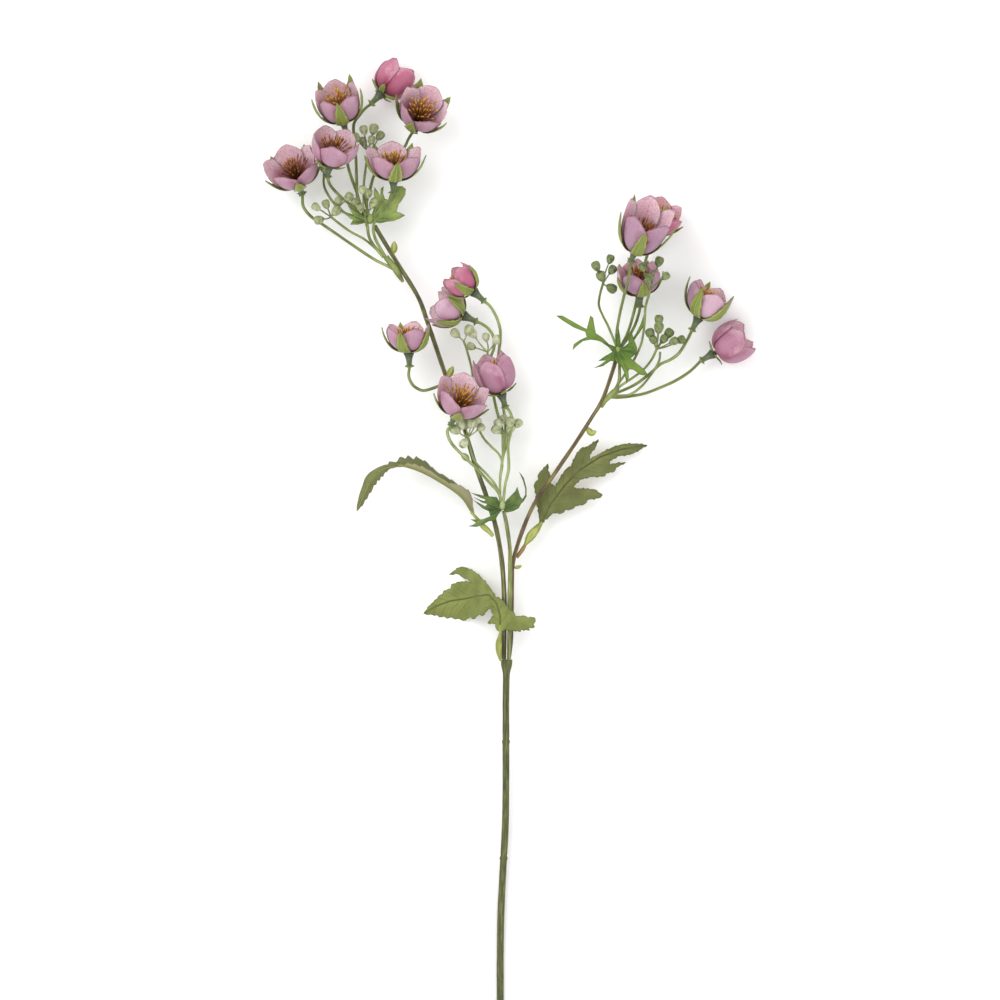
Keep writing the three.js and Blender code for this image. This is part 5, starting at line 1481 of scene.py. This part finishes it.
SPRAYS = [
    Spray(
        "spray_left",
        stalks=[
            Stalk([[-144.5, 227, 11], [-139, 220, 12], [-131, 214.5, 14], [-121.5, 208, 17],
                [-111.5, 201, 20], [-95, 190, 24], [-85, 185, 25.4], [-80.5, 182.5, 25.4]], "a4"),
            Stalk([[-125, 241, 27.5], [-118.5, 234, 26], [-111.5, 228, 26], [-104.5, 221.5, 26.5],
                [-99, 218, 26.5]], "a5"),
            Stalk([[-111.5, 275, 21], [-112.5, 268.5, 20.5], [-113.5, 258, 21], [-111, 248, 22],
                [-107.5, 238.5, 24], [-104, 227, 26], [-100, 216, 26.5], [-97.5, 203.5, 26.5],
                [-88, 191, 25.8]], "a1"),
            Stalk([[-100.5, 296, 23], [-104, 292, 23], [-109, 284.5, 22], [-108.5, 273.5, 21],
                [-107.5, 259.5, 21.5], [-107, 245.5, 23.5], [-106, 231.5, 25.5], [-98.5, 219, 26.5]], "a2"),
            Stalk([[-71, 274, 16], [-74, 268, 14.5], [-83, 258, 13.6], [-93.5, 251, 14.6],
                [-97.5, 239.5, 19], [-100, 228.5, 23], [-98, 219, 26]], "a3"),
            Stalk([[-84.5, 229, 27.5], [-88.5, 223.5, 26.8], [-94, 218, 26.8], [-94.5, 206, 26.8],
                [-86, 190, 26]], "a6"),
            Stalk([[-125, 219.5, 24], [-118, 214, 23.6], [-111, 209, 23.6], [-101, 203.5, 24],
                [-89.5, 193.5, 25], [-83, 187, 25.4]], radius=BUD_STALK_RADIUS),
            Stalk([[-98.5, 265.5, 25], [-100, 258, 23.6], [-101, 251, 23.4], [-102, 241, 24.5],
                [-101, 230, 26], [-98, 219, 27]], radius=BUD_STALK_RADIUS),
            Stalk([[-101, 220, 28], [-100, 213, 27]], radius=BUD_STALK_RADIUS),
            Stalk([[-130, 250, 17], [-130, 242, 19], [-127, 235, 22], [-122, 228, 25], [-116.5, 223, 25.5],
                [-106, 219, 26.4]], radius=BUD_STALK_RADIUS),
        ],
        webs=[
            ([[-86.5, 191.5, 25.8], [-81, 184.5, 25.2], [-77.5, 179, 24.8],
                [-74.5, 174, 24.2]], [2, 2.3, 2, 1]),
        ],
        knobs=[([-97.5, 218, 26.5], 3.6)],
        groups=[
            BudGroup([-130, 249, 17], [[-130, 254]]),
            BudGroup([-98.5, 265.5, 25], [[-107.5, 275], [-102, 280.5], [-102.5, 272.5], [-95, 281],
                [-90.5, 276.5], [-96.5, 273.5]]),
            BudGroup([-125, 219.5, 24], [[-135.5, 226.5], [-128.5, 228.5], [-120, 230.5], [-112.5, 233.5],
                [-133.5, 217.5], [-121, 224]]),
            BudGroup([-101, 220, 28], [[-103, 238.5], [-99, 236], [-107.5, 229], [-104, 226], [-95, 229]]),
        ],
        bracts=[
            Bract([[-97, 216], [-97, 219.5], [-94, 228], [-95, 235], [-94.5, 240.5], [-92, 237],
                [-90.5, 234], [-90, 239.5], [-88, 241], [-88.5, 236], [-87, 232], [-85, 231.5], [-83.5, 236],
                [-82, 239.5], [-79.5, 241], [-75, 241], [-72.5, 239], [-73, 235], [-76, 230], [-77.5, 228.5],
                [-79, 223], [-76.5, 222.5], [-73, 220.5], [-76.5, 218.5], [-81, 216.5], [-86, 216],
                [-90.5, 215]], height=27, rise=0.05),
            Bract([[-98.5, 216], [-99, 219], [-104, 221.5], [-109.5, 225], [-113.5, 228], [-111.5, 224.5],
                [-109, 220], [-113.5, 222], [-118.5, 226], [-116, 222], [-111, 218], [-109.5, 217.5],
                [-111.5, 214], [-106, 214], [-102, 215]], height=27.5),
        ],
    ),
    Spray(
        "spray_middle",
        stalks=[
            Stalk([[-43.5, 69, 29], [-40.5, 61, 27.6], [-31, 51, 26.5], [-22, 42.5, 25.5], [-13.5, 33, 24.5],
                [-8, 27, 23.5], [-5, 19, 22.4]], "b4"),
            Stalk([[-0.5, 84.5, 26.5], [2, 77.5, 25], [1, 69, 24], [-1, 59, 23.5], [-0.5, 44, 23],
                [-3, 32, 22.6], [-4.5, 19, 22.4]], "b5"),
            Stalk([[-13.5, 156.5, 42], [-9, 149, 39], [-6.5, 140.5, 33.5], [-6.5, 133, 25],
                [-7.5, 125, 16.5], [-8, 115, 13], [-6.5, 102, 12.6], [-4.5, 88, 14.5], [-3, 74, 18],
                [-4, 57.5, 21], [-6.5, 37, 22.5]], "b1"),
            Stalk([[-19, 144.5, 23], [-14.5, 141, 22], [-11, 135, 21], [-11, 127.5, 18.6],
                [-13.5, 120.5, 15], [-14.5, 112.5, 13], [-12, 98.5, 13], [-9, 84.5, 15], [-5, 69, 18.5],
                [-4.5, 55, 21.5]], "b2"),
            Stalk([[-29.5, 65, 27.5], [-27.5, 57.5, 25.5], [-24, 48, 25], [-15.5, 39, 24.5],
                [-9, 30.5, 23.2], [-5.5, 19, 22.4]], radius=BUD_STALK_RADIUS),
            Stalk([[-32, 132.5, 26], [-29.5, 125, 24], [-26.5, 112.5, 20], [-25, 95, 17],
                [-23.5, 77.5, 17.5], [-19, 66, 19], [-13, 59, 20.5], [-7.5, 53.5, 21.5], [-5, 46.5, 22],
                [-6.5, 35.5, 22.5], [-6.5, 19, 22.4]], radius=BUD_STALK_RADIUS),
            Stalk([[-2, 66, 22], [-2.5, 59, 22], [-4.5, 51, 22], [-6.5, 39, 22.4]], radius=BUD_STALK_RADIUS),
            Stalk([[-15.5, 125, 21], [-14.5, 118, 17], [-13.5, 108, 13]], radius=BUD_STALK_RADIUS),
        ],
        knobs=[([-5, 17.5, 22.4], 3.4)],
        scales=[[[-27.5, 48, 26], [-31, 51.5, 27], [-34, 54, 28]]],
        groups=[
            BudGroup([-29.5, 65, 27.5], [[-38, 70.5], [-34, 74.5], [-30.5, 74.5], [-26.5, 75], [-23, 76],
                [-20, 72], [-32, 61]]),
            BudGroup([-2, 66, 22], [[-9.5, 70.5], [-8, 75], [-4, 78], [0.5, 76], [6, 75], [1, 71]]),
            BudGroup([-32, 132.5, 26], [[-38, 138], [-28.5, 140.5]]),
            BudGroup([-15.5, 125, 21], [[-26, 138], [-27, 129], [-16.5, 135.5], [-9, 133.5]]),
        ],
        bracts=[
            Bract([[-5, 14.5], [-6.5, 19], [-9, 23.5], [-15.5, 24], [-18, 24.5], [-27.5, 26.5], [-20.5, 23],
                [-16.5, 21.5], [-18, 20.5], [-25.5, 23.5], [-19, 19.5], [-15.5, 18.5], [-17, 17],
                [-25.5, 21.5], [-19, 15.5], [-14.5, 13.5], [-13.5, 10], [-18.5, 8], [-22, 7.5], [-27.5, 8],
                [-23.5, 5.5], [-25.5, 4], [-29.5, 3], [-23, 2.5], [-19, 4], [-14.5, 6.5], [-10, 7],
                [-8, 11]], height=23.4, rise=0.1, droop=0.001),
            Bract([[-5, 15], [-4, 19], [-2, 21.5], [2, 25.5], [4, 27.5], [5.5, 31], [6.5, 27], [7.5, 24],
                [9, 22], [11, 25], [11, 29], [9.5, 34.5], [6.5, 41.5], [10, 37], [12, 29.5], [12, 24],
                [10, 20.5], [8, 18.5], [6.5, 15.5], [2.5, 13.5], [-2, 12.5]], height=23, rise=0.2),
        ],
        bract_dress=Dress.BRACT_DARK,
        stalk_dress=Dress.STALK_LIGHT,
        bud_dress=Dress.BUD_PALE,
    ),
    Spray(
        "spray_right",
        stalks=[
            Stalk([[84, 183, 47], [83, 175.5, 45], [80, 164, 40], [77, 151, 34], [75, 138, 29],
                [75.5, 128, 27]], "c1"),
            Stalk([[96, 191, 7.5], [93, 179, 7.4], [90, 165, 8.5], [87, 152, 12], [83, 139, 18],
                [77.5, 127.5, 26]], "c2"),
            Stalk([[90.5, 151.5, 15.5], [88, 144, 17], [83.5, 135.5, 20.5], [77.5, 127.5, 26]], "c3"),
            Stalk([[124, 132.5, 21.5], [118.5, 124, 22], [112.5, 119.5, 22.5], [106, 116.5, 23],
                [98.5, 110, 23.5], [88.5, 102.5, 24], [78, 97.5, 24.2], [72, 95.5, 24.6]], "c4"),
            Stalk([[126.5, 111.5, 12.5], [116.5, 105, 14.5], [105.5, 100, 17], [95, 96, 19.5],
                [84.5, 94, 21.5], [75, 93, 23], [70.5, 93.5, 24.2]], "c5"),
            Stalk([[65.5, 173, 30], [63.5, 166, 29], [62.5, 158, 28], [65, 151, 27], [69.5, 142, 26.6],
                [75, 128.5, 27]], radius=BUD_STALK_RADIUS),
            Stalk([[98.5, 168.5, 47], [97, 163.5, 45], [95, 156, 40], [94.5, 146, 34], [93.5, 137, 29.6],
                [92, 130, 27.6], [88.5, 122, 26.6], [83.5, 113.5, 26],
                [74.5, 100, 25]], radius=BUD_STALK_RADIUS),
            Stalk([[103, 127, 27], [100, 120.5, 26.5], [96, 115, 26], [92, 111, 25.6], [85, 106, 25.4],
                [77.5, 101, 25], [72.5, 96, 24.8]], radius=BUD_STALK_RADIUS),
            Stalk([[105.5, 125, 26.5], [104.5, 118, 25.6], [99, 109, 25], [92, 100.5, 24.6],
                [83.5, 95, 24.6], [72, 94.5, 24.6]], radius=BUD_STALK_RADIUS),
            Stalk([[76.5, 125.5, 26.8], [77, 113.5, 26], [76.5, 104, 25.6], [72, 96, 24.8]]),
        ],
        webs=[([[76, 100, 25], [71, 95, 24.6], [67, 90.5, 24.2], [64.5, 86, 23.6]], [1.6, 2.1, 1.5, 0.9])],
        knobs=[([76, 126.5, 27], 3.4)],
        groups=[
            BudGroup([65.5, 173, 30], [[60.5, 185], [70.5, 190], [72, 182.5], [64, 178], [71.5, 169.5]]),
            BudGroup([98.5, 168.5, 47], [[93, 184], [97.5, 176.5], [104.5, 188], [109, 177.5]]),
            BudGroup([103, 127, 27], [[104.5, 147.5], [104.5, 142], [98.5, 138], [100.5, 133.5],
                [111.5, 138], [108, 134], [115, 132.5], [120, 133.5]]),
        ],
        bracts=[
            Bract([[75, 125], [73, 124], [69, 128.5], [64, 132], [61, 133], [56.5, 133.5], [51.5, 132.5],
                [47, 129], [44, 126], [45, 130.5], [49.5, 133.5], [54, 135.5], [53, 139], [45, 142],
                [37, 147], [32.5, 150.5], [37, 150.5], [44, 146.5], [51, 142.5], [54, 141], [55.5, 146.5],
                [56.5, 150.5], [58.5, 149], [59.5, 143], [60.5, 138], [65, 135], [69.5, 130.5],
                [74.5, 128.5]], height=28, rise=0.1, droop=0.004),
            Bract([[74.5, 128.5], [72, 125], [66, 121.5], [62, 118.5], [67.5, 119], [63.5, 116],
                [58.5, 113.5], [65.5, 115], [70.5, 118.5], [74, 118.5], [78, 115], [80, 111], [82, 102.5],
                [83.5, 107], [83, 113], [86.5, 112.5], [91.5, 109], [97.5, 108], [94, 113], [89, 117],
                [85, 120.5], [88.5, 123.5], [89.5, 127.5], [87, 134], [85, 140.5], [83.5, 135], [83, 130],
                [80, 127.5], [78, 128.5], [77.5, 135], [76, 144],
                [74, 136]], height=28.6, rise=0.16, droop=0.006),
            Bract([[76, 125.5], [84.5, 132], [88.5, 138], [92, 145], [94.5, 153], [95.5, 149], [93.5, 142],
                [89, 135.5], [84.5, 129], [77.5, 124]], height=26.5, rise=0.05, droop=0),
        ],
        bract_dress=Dress.BRACT_DEEP,
        bud_dress=Dress.BUD_DARK,
    ),
    Spray(
        "side_stalk",
        stalks=[
            Stalk([[-70.5, 108, 31], [-68.5, 103, 28.5], [-65.5, 100, 26], [-60.5, 98, 24],
                [-54, 99.5, 22.6], [-50, 101, 22], [-44.7, 101.3, 21.6]], "b3"),
        ],
    ),
]


# Stems.


# The main stem's notch rings: how far one stands out or in, and its half width as a share of the
# stem. A groove follows each ring.
RING_HEIGHT, RING_WIDTH = 0.5, 0.0035
GROOVE_DEPTH, GROOVE_WIDTH, GROOVE_BEHIND = 0.18, 0.003, 0.009

# Where the funnel widens, as shares of the stem.
FUNNEL_START, FUNNEL_END = 0.955, 0.99


@dataclass
class Stem:
    """The main stem: notch rings where it is jointed and a funnel where it forks."""

    route: Points
    joints: tuple[float, ...] = (0.42, 0.76)

    def build(self, shop: Workshop) -> None:
        """Makes it: radius plus a narrow bell curve at each joint and a widening at the funnel.

        Args:
            shop: makes the piece.
        """
        path = smooth_path(self.route, 0.8)
        share = np.linspace(0, 1, len(path))
        radii = STEM_RADIUS * (1 + 0.02 * waves(share * 40, 3))
        for joint in self.joints:
            radii = radii + RING_HEIGHT * bell((share - joint) / RING_WIDTH)
            radii = radii - GROOVE_DEPTH * bell((share - joint - GROOVE_BEHIND) / GROOVE_WIDTH)
        radii = radii + (FUNNEL_RADIUS - STEM_RADIUS) * smooth_step(FUNNEL_START, FUNNEL_END, share)
        sides = 24
        angle, turn = ring_angles(sides), share[:, None]
        ridges = 1 + 0.02 * np.cos(6 * angle + 4 * turn) + 0.012 * np.cos(11 * angle - 3 * turn)
        tube = sweep(path[None], (radii[:, None] * ridges)[None], sides, in_cm=True)
        shop.piece("main_stem_fine", tube, Dress.STEM, "stem", "main_stem")


@dataclass
class Branch:
    """A branch with its small scale leaves."""

    node: str
    route: Points
    radius: float
    dress: Dress
    scales: list[Points] = no_rows()

    def build(self, shop: Workshop) -> None:
        """Makes it.

        Args:
            shop: makes the piece.
        """
        tube = stem_tube(self.route, self.radius, self.radius - 0.2, 9, 16, 1.2)
        shop.piece(f"{self.node}_fine", tube, self.dress, "branch", self.node)
        if self.scales:
            scales = joined([scale_leaf(route) for route in self.scales])
            shop.piece(f"{self.node}_scales", scales, Dress.SLEEVE, "branch", self.node)


# Leaves.


@dataclass
class Leaf:
    """What every large leaf has: a node, and a moulded sleeve. neck is how many spans of the sleeve,
    from the stem on, are its thin brown neck."""

    node: str
    sleeve: Points
    sleeve_radii: list[float]
    neck: int = 0
    dress: Dress = Dress.LEAF

    def blade(self) -> Surface:
        """The blade. A leaf of its own kind makes it."""
        raise NotImplementedError

    def build(self, shop: Workshop) -> None:
        """Makes the blade and its sleeve.

        Args:
            shop: makes the pieces.
        """
        shop.piece(f"{self.node}_blade", self.blade(), self.dress, "leaf", self.node)
        sleeve = shaped_tube(self.sleeve[self.neck:], self.sleeve_radii[self.neck:], sides=14)
        shop.piece(f"{self.node}_sleeve", sleeve, Dress.SLEEVE, "leaf", self.node)
        if self.neck:
            end = self.neck + 1
            neck = shaped_tube(self.sleeve[:end], self.sleeve_radii[:end], sides=14)
            shop.piece(f"{self.node}_neck", neck, Dress.NECK, "leaf", self.node)


@dataclass
class FlatLeaf(Leaf):
    """A leaf seen flat: a rib and the toothed edges on its two sides, with its height by a rule."""

    rib: Points = no_rows()
    upper: Points = no_rows()
    lower: Points = no_rows()

    def base_height(self, flat: Array, far: Array, along: Array) -> Array:
        """Height of the lower face at each point. A leaf of its own kind says it."""
        raise NotImplementedError

    def blade(self) -> Surface:
        """The blade: its base height, less a groove along the rib, with ripples between the veins
        and a soft wave outwards, and nowhere below the table.

        Returns:
            The blade.
        """
        rib = np.array(self.rib, float)
        outline = np.array([self.rib[0], *self.upper, self.rib[-1], *self.lower[::-1]], float)
        cut = Cut(toothed(outline, TOOTH_PITCH, TOOTH_DEPTH), LEAF_NET)
        far, along, side = from_lines(cut.flat, rib)
        height = self.base_height(cut.flat, far, along)
        height = height + 0.28 * np.cos((along - far) * VEIN_WAVE) * smooth_step(1, 5, far)
        height = height - 0.35 * smooth_step(1.6, 0.0, far)
        height = height + 0.45 * waves(along * 0.2 + far * 0.15, 11) * smooth_step(3, 14, far)
        thickness = thinned(LEAF_THICKNESS, 0.45, 2, cut.to_edge)
        return cut.solid(np.maximum(height, 0), thickness, np.column_stack([far * side / 10, along / 10]))


@dataclass
class RightLeaf(FlatLeaf):
    """The leaf under the right branch: a low arch whose margins droop."""

    def base_height(self, flat: Array, far: Array, along: Array) -> Array:
        """A slow sine along the rib, less a square of the way along and a slope to each side."""
        return 13.4 + 2.4 * np.sin(along / 30) - 0.0007 * along * along - 0.16 * far


@dataclass
class LowerLeaf(FlatLeaf):
    """The leaf that passes over the branches and bends down until its end lies flat."""

    dress: Dress = Dress.LEAF_LIGHT

    def base_height(self, flat: Array, far: Array, along: Array) -> Array:
        """A smooth rise with x to 21, and a small droop at the right lobe."""
        x = flat[:, 0]
        return 21 * smooth_step(-37, -9, x) - 3 * smooth_step(3, 19, x)


@dataclass
class LeftLeaf(Leaf):
    """The leaf that arches and hangs folded along its rib. outer and inner are its edges, laid
    out flat as the way along the rib and the distance from it."""

    arch: Points = no_rows()
    outer: Points = no_rows()
    inner: Points = no_rows()

    def half(self, edge: Array, visible: bool) -> tuple[Array, ...]:
        """One half of the blade as a grid from the rib to its edge.

        A point hangs from the rib in a direction between straight down and outwards, which
        opens towards the tip. The outer lobe is swept forward along the rib by the square of
        the share, so that its last teeth point to the tip.

        Args:
            edge: the edge, as way along and distance.
            visible: whether it is the half towards the outside of the arch.

        Returns:
            Points, way along in mm, distance from the rib in mm, and width there.
        """
        path = smooth_path(self.arch, 0.5)
        passed = way_along(path)
        length = passed[-1]
        rows, columns = FOLD_GRID
        along, share = np.meshgrid(np.linspace(0, length, rows), np.linspace(0, 1, columns), indexing="ij")
        width = np.interp(along, [0, *edge[:, 0], length], [0.3, *edge[:, 1], 0.2])
        beyond = smooth_step(0.58, 0.66, along / length)
        teeth = 0.16 * (1 - beyond) + 0.3 * smooth_step(46, 52, along) * (1 - beyond)
        teeth = teeth if visible else 0.06 + 0.28 * beyond
        width = width * (1 + teeth * ((along / FOLD_TOOTH_PITCH) % 1 - 0.5))
        across = width * share
        swept = along + (7 * smooth_step(24, 44, along) * (1 - beyond) if visible else 0) * share**2
        at = np.stack([np.interp(swept, passed, path[:, k]) for k in range(3)], axis=-1)
        tangent = unit(np.gradient(at, axis=0))
        outwards = unit(np.stack([tangent[..., 1], -tangent[..., 0], np.zeros_like(along)], axis=-1))
        opening = smooth_step(0.5, 0.75, along / length)
        wing = 0.5 + 0.12 * opening if visible else 0.1 - 0.72 * opening
        wing = wing + 0.06 * waves(along * 0.12 + share * 1.4, 21 if visible else 22) * share
        spread = outwards * wing[..., None]
        spread[..., 2] = -np.sqrt(1 - wing**2)
        spread = unit(spread - tangent * np.sum(spread * tangent, axis=-1, keepdims=True))
        return at + spread * across[..., None], along, across, width

    def blade(self) -> Surface:
        """Both halves joined along the rib as one sheet, grooved there and rippled by the veins.

        Returns:
            The blade. Its tone is the distance to the edge, in cm, and its side is 1 where the
            lighter back shows: all of the inner half and what turns over at the outer lobe.
        """
        a, along, across, width = self.half(np.array(self.outer, float), True)
        inner = np.array(self.inner, float) * [1, -1]
        b, _, across_b, width_b = self.half(inner, False)
        middle = np.concatenate([b[:, :0:-1], a], axis=1)
        signed = np.concatenate([-across_b[:, :0:-1], across], axis=1)
        along = np.broadcast_to(along[:, :1], signed.shape)
        edge = np.concatenate([width_b[:, :0:-1], width], axis=1) - np.abs(signed)
        outer = np.zeros_like(middle)
        outer[..., 2] = 1.0
        groove = 0.3 * bell(signed / 1.2) + 0.25 * np.cos((along - np.abs(signed)) * VEIN_WAVE)
        middle = middle - outer * groove[..., None] * 0.4
        thickness = thinned(LEAF_THICKNESS, 0.45, 2, edge)
        blade = plate(middle, thickness, np.stack([signed / 10, along / 10], axis=-1), 0.0, outer)
        blade.tone = np.tile(edge.ravel() / 10, 2)
        reach = np.abs(signed) / np.maximum(edge + np.abs(signed), 0.1)
        lobe = smooth_step(22, 30, along) * smooth_step(66, 62, along)
        turned = smooth_step(0.42, 0.5, reach - 0.5 * (1 - lobe) + 0.9 * smooth_step(60, 68, along))
        blade.side = np.concatenate([turned.ravel(), 1 - turned.ravel()])
        return blade


STEMS = [
    Stem([[-6.5, -331, 2.3], [-6.5, -300, 2.6], [-6, -269, 4], [-4.5, -237.5, 5.5], [-3, -209.5, 7],
        [-2.5, -181.5, 8.5], [-2.5, -146.5, 10.5], [-2.5, -118.5, 12], [-2.2, -99, 13.5],
        [-2, -90.5, 14.1]]),
    Branch(
        "branch_left",
        [[-4, -90, 14.3], [-3.7, -69.5, 15.5], [-3.6, -48.5, 16.6], [-5.5, -20.5, 18], [-10, 4, 19],
            [-16.5, 25, 19.6], [-24, 46, 20], [-32.5, 74, 20.6], [-42.5, 102, 21.2], [-48.5, 119.5, 21.8],
            [-57.5, 146, 22.6], [-64, 163.5, 23], [-76.5, 184, 23.6], [-87, 201, 23.9],
            [-94.4, 213.4, 24.3]],
        1.7,
        Dress.LEFT_BRANCH,
        [
            [[-82.5, 193, 24.2], [-81, 195.5, 24.6], [-80.5, 202.5, 25.4]],
            [[-44, 105.5, 21.6], [-42, 109.5, 23], [-39.5, 115, 24.4]],
        ],
    ),
    Branch("branch_middle", [[-0.5, -90, 15.9], [-0.2, -76.5, 16.8], [0, -48.5, 18.4], [0.5, -20.5, 19.6],
        [0, -10, 20], [-2, 4, 20.4], [-4.1, 13.8, 20.9]], 1.55, Dress.MIDDLE_BRANCH),
    Branch(
        "branch_right",
        [[-0.5, -90, 12.2], [1, -76.5, 13], [1.5, -55.5, 14.6], [1.8, -34.5, 15.6], [2.5, -22, 16.2],
            [8, -3, 17.5], [17, 18, 18.9], [31, 39, 20], [46, 61, 21.2], [57.5, 79, 22.2], [65, 91.5, 23],
            [72, 111, 24], [75, 121.5, 24.8]],
        1.55,
        Dress.RIGHT_BRANCH,
        [
            [[3, -26, 16.2], [5, -26, 17.5], [8.5, -24.5, 18.5]],
            [[54, 73.5, 21.8], [57, 68.5, 22.8], [61, 69.5, 23.8]],
        ],
    ),
    RightLeaf(
        "leaf_right",
        rib=[[21.5, 3], [28.5, 18], [39, 32], [49.5, 42.5], [63.5, 51.5], [79, 57], [97, 60]],
        upper=[[20.5, 11], [20, 15.5], [18, 21.5], [18.5, 25], [17, 32], [20, 35.5], [20.5, 40], [23, 42.5],
            [27, 47], [27, 42.5], [28.5, 39.5], [29, 33], [32, 30.5], [35.5, 37], [39, 42.5], [43, 45],
            [46.5, 53], [50, 57.5], [55, 59], [62.5, 64], [60.5, 58.5], [56.5, 53], [56.5, 50], [63.5, 54],
            [72.5, 58.5], [79.5, 60.5], [88, 61]],
        lower=[[25, 7.5], [28.5, 10], [30.5, 12], [37, 12], [39.5, 14.5], [44.5, 15], [46.5, 17], [53, 18.5],
            [55, 21.5], [64, 23], [65.5, 25], [59, 29], [47, 29.5], [45, 31], [49.5, 35.5], [56.5, 37.5],
            [67, 38], [68, 40], [74, 41.5], [75, 44], [82, 48], [70.5, 46.5], [70.5, 48.5], [76, 52],
            [86, 53.5], [91.5, 56.5]],
        sleeve=[[5, -19, 13.4], [9, -13.5, 13.5], [11, -10, 13.6], [14.5, -4.5, 13.7], [18.5, 0.5, 13.8],
            [23, 6, 13.9]],
        sleeve_radii=[1.2, 1.5, 1.1, 3.0, 2.7, 0.9],
        neck=2,
    ),
    LowerLeaf(
        "leaf_lower",
        rib=[[-6.5, -71], [-6.5, -60], [-9, -51], [-14.5, -45], [-23, -46], [-31, -48], [-41.5, -49.5],
            [-51, -53], [-60.5, -58.5]],
        upper=[[-3, -69.5], [2, -70], [8, -71], [8, -69.5], [14.5, -70], [13.5, -68.5], [18, -67.5],
            [17, -66], [18.5, -63.5], [18, -61], [13, -61], [11.5, -60], [4.5, -60], [3, -57], [0.5, -55.5],
            [-2.5, -52], [-5, -48.5], [-9.5, -46.5], [-13.5, -40], [-20.5, -32], [-25, -28.5], [-30.5, -26],
            [-35.5, -26], [-40, -29], [-42.5, -31], [-38, -30.5], [-35.5, -31], [-34, -32.5], [-29.5, -34],
            [-26, -37], [-29, -36], [-34.5, -36], [-41, -38], [-41.5, -41], [-46.5, -42.5], [-47, -44.5],
            [-50, -46], [-51, -48], [-55.5, -52]],
        lower=[[-8, -70.5], [-10, -67.5], [-10, -65.5], [-15.5, -65], [-11, -59], [-13.5, -55], [-15, -55.5],
            [-19, -60], [-21.5, -59], [-25.5, -62.5], [-27.5, -61], [-32.5, -63.5], [-35.5, -62],
            [-38, -62.5], [-41, -61], [-44, -62], [-46, -60.5], [-49.5, -61], [-51, -59.5], [-55.5, -59]],
        sleeve=[[-6, -91.5, 18.4], [-7.5, -85, 19], [-7.5, -79, 19.6], [-6.5, -72.5, 20.6],
            [-6.5, -66, 21.2]],
        sleeve_radii=[0.9, 1.9, 2.3, 1.1, 0.9],
    ),
    LeftLeaf(
        "leaf_left",
        arch=[[-24, 9.5, 21.2], [-27, 13, 22], [-33, 22, 23.5], [-41.5, 29, 25], [-52, 35.5, 26],
            [-62.5, 41, 26.6], [-73, 44.5, 26.6], [-80, 45, 26], [-88.5, 43, 24.6], [-96, 37, 21.6],
            [-100.5, 28.5, 17.6], [-107, 13.5, 12]],
        outer=[[4, 4.5], [12, 11.5], [16, 12.5], [22, 11.5], [30, 11.5], [37, 12.5], [41, 16], [46, 16.5],
            [54, 14.5], [60, 11.5], [61, 5.5], [67, 6], [68, 3.2], [76, 4], [82, 5], [88, 5.6], [94, 5.8],
            [100, 5.2], [105, 4.4], [109, 3.4], [113, 2.4]],
        inner=[[4, -5.5], [10, -11.5], [17, -14], [24, -12.5], [33, -15.5], [42, -14], [51, -9.5], [52, -6],
            [60, -7], [67, -8.5], [68, -4.4], [74, -4.6], [80, -6], [88, -7.4], [96, -7], [104, -5],
            [111, -3]],
        sleeve=[[-11.5, -4, 21.2], [-14.5, -0.5, 21.2], [-18.5, 3, 21.2], [-22, 7.5, 21.2], [-27, 13, 21.8]],
        sleeve_radii=[1.2, 1.7, 2, 1.2, 0.9],
    ),
]


# Studio.


@dataclass
class Studio:
    """Pale table, soft light and a camera that looks straight down from far off. The picture is
    width metres wide at the focus height; middle is what it is centred on, in mm; table is the
    table's width in metres and sky the strength of the white sky."""

    middle: tuple[float, float] = (-6.65, 21.35)
    distance: float = 8.0
    width: float = 0.7
    focus_height: float = 0.025
    table: float = 12
    sky: float = 1.15

    def floor(self) -> None:
        """A wide pale table top with a faint grain, under all that the spray rests on."""
        bpy.ops.mesh.primitive_plane_add(size=self.table, location=(0, 0, 0))
        floor = bpy.context.object
        floor.name = "table_top"
        desk = Desk("table_white")
        grain = desk.noise(9, 2)
        white = desk.mix((0.93, 0.93, 0.93), (0.97, 0.97, 0.97), grain)
        floor.data.materials.append(desk.finish(white, 0.9))

    def lamp(self, name: str, at: tuple[float, float, float], size: float, power: float,
             colour: Colour) -> None:
        """A square soft lamp that faces the middle of the spray."""
        light = bpy.data.lights.new(name, "AREA")
        light.energy, light.size, light.color = power, size, colour
        lamp = bpy.data.objects.new(name, light)
        lamp.location = at
        aim = Vector((0, 0.1, 0)) - Vector(at)
        lamp.rotation_euler = aim.to_track_quat("-Z", "Y").to_euler()
        bpy.context.scene.collection.objects.link(lamp)

    def build(self) -> None:
        """Sets the table, the lamps, the sky and the camera."""
        self.floor()
        self.lamp("key", (-1.5, 1.3, 2.6), 2.0, 36, (1.0, 0.99, 0.97))
        self.lamp("fill", (2.0, -1.2, 2.4), 2.4, 10, (0.97, 0.99, 1.0))
        world = bpy.data.worlds.new("sky")
        world.use_nodes = True
        sky = world.node_tree.nodes["Background"]
        sky.inputs["Color"].default_value = (1, 1, 1, 1)
        sky.inputs["Strength"].default_value = self.sky
        scene = bpy.context.scene
        scene.world = world
        scene.view_settings.view_transform = "Standard"
        camera = bpy.data.cameras.new("camera")
        camera.lens = camera.sensor_width * (self.distance - self.focus_height) / self.width
        camera.clip_end = 100
        eye = bpy.data.objects.new("camera", camera)
        eye.location = (self.middle[0] * MM, self.middle[1] * MM, self.distance)
        scene.collection.objects.link(eye)
        scene.camera = eye


def main() -> None:
    """Builds the spray piece by piece, then the studio."""
    logging.basicConfig(level=logging.INFO, format="%(name)s: %(message)s")
    shop = Workshop()
    for group in (STEMS, SPRAYS, BLOOMS):
        for part in group:
            part.build(shop)
    Studio().build()


if __name__ == "__main__":
    main()
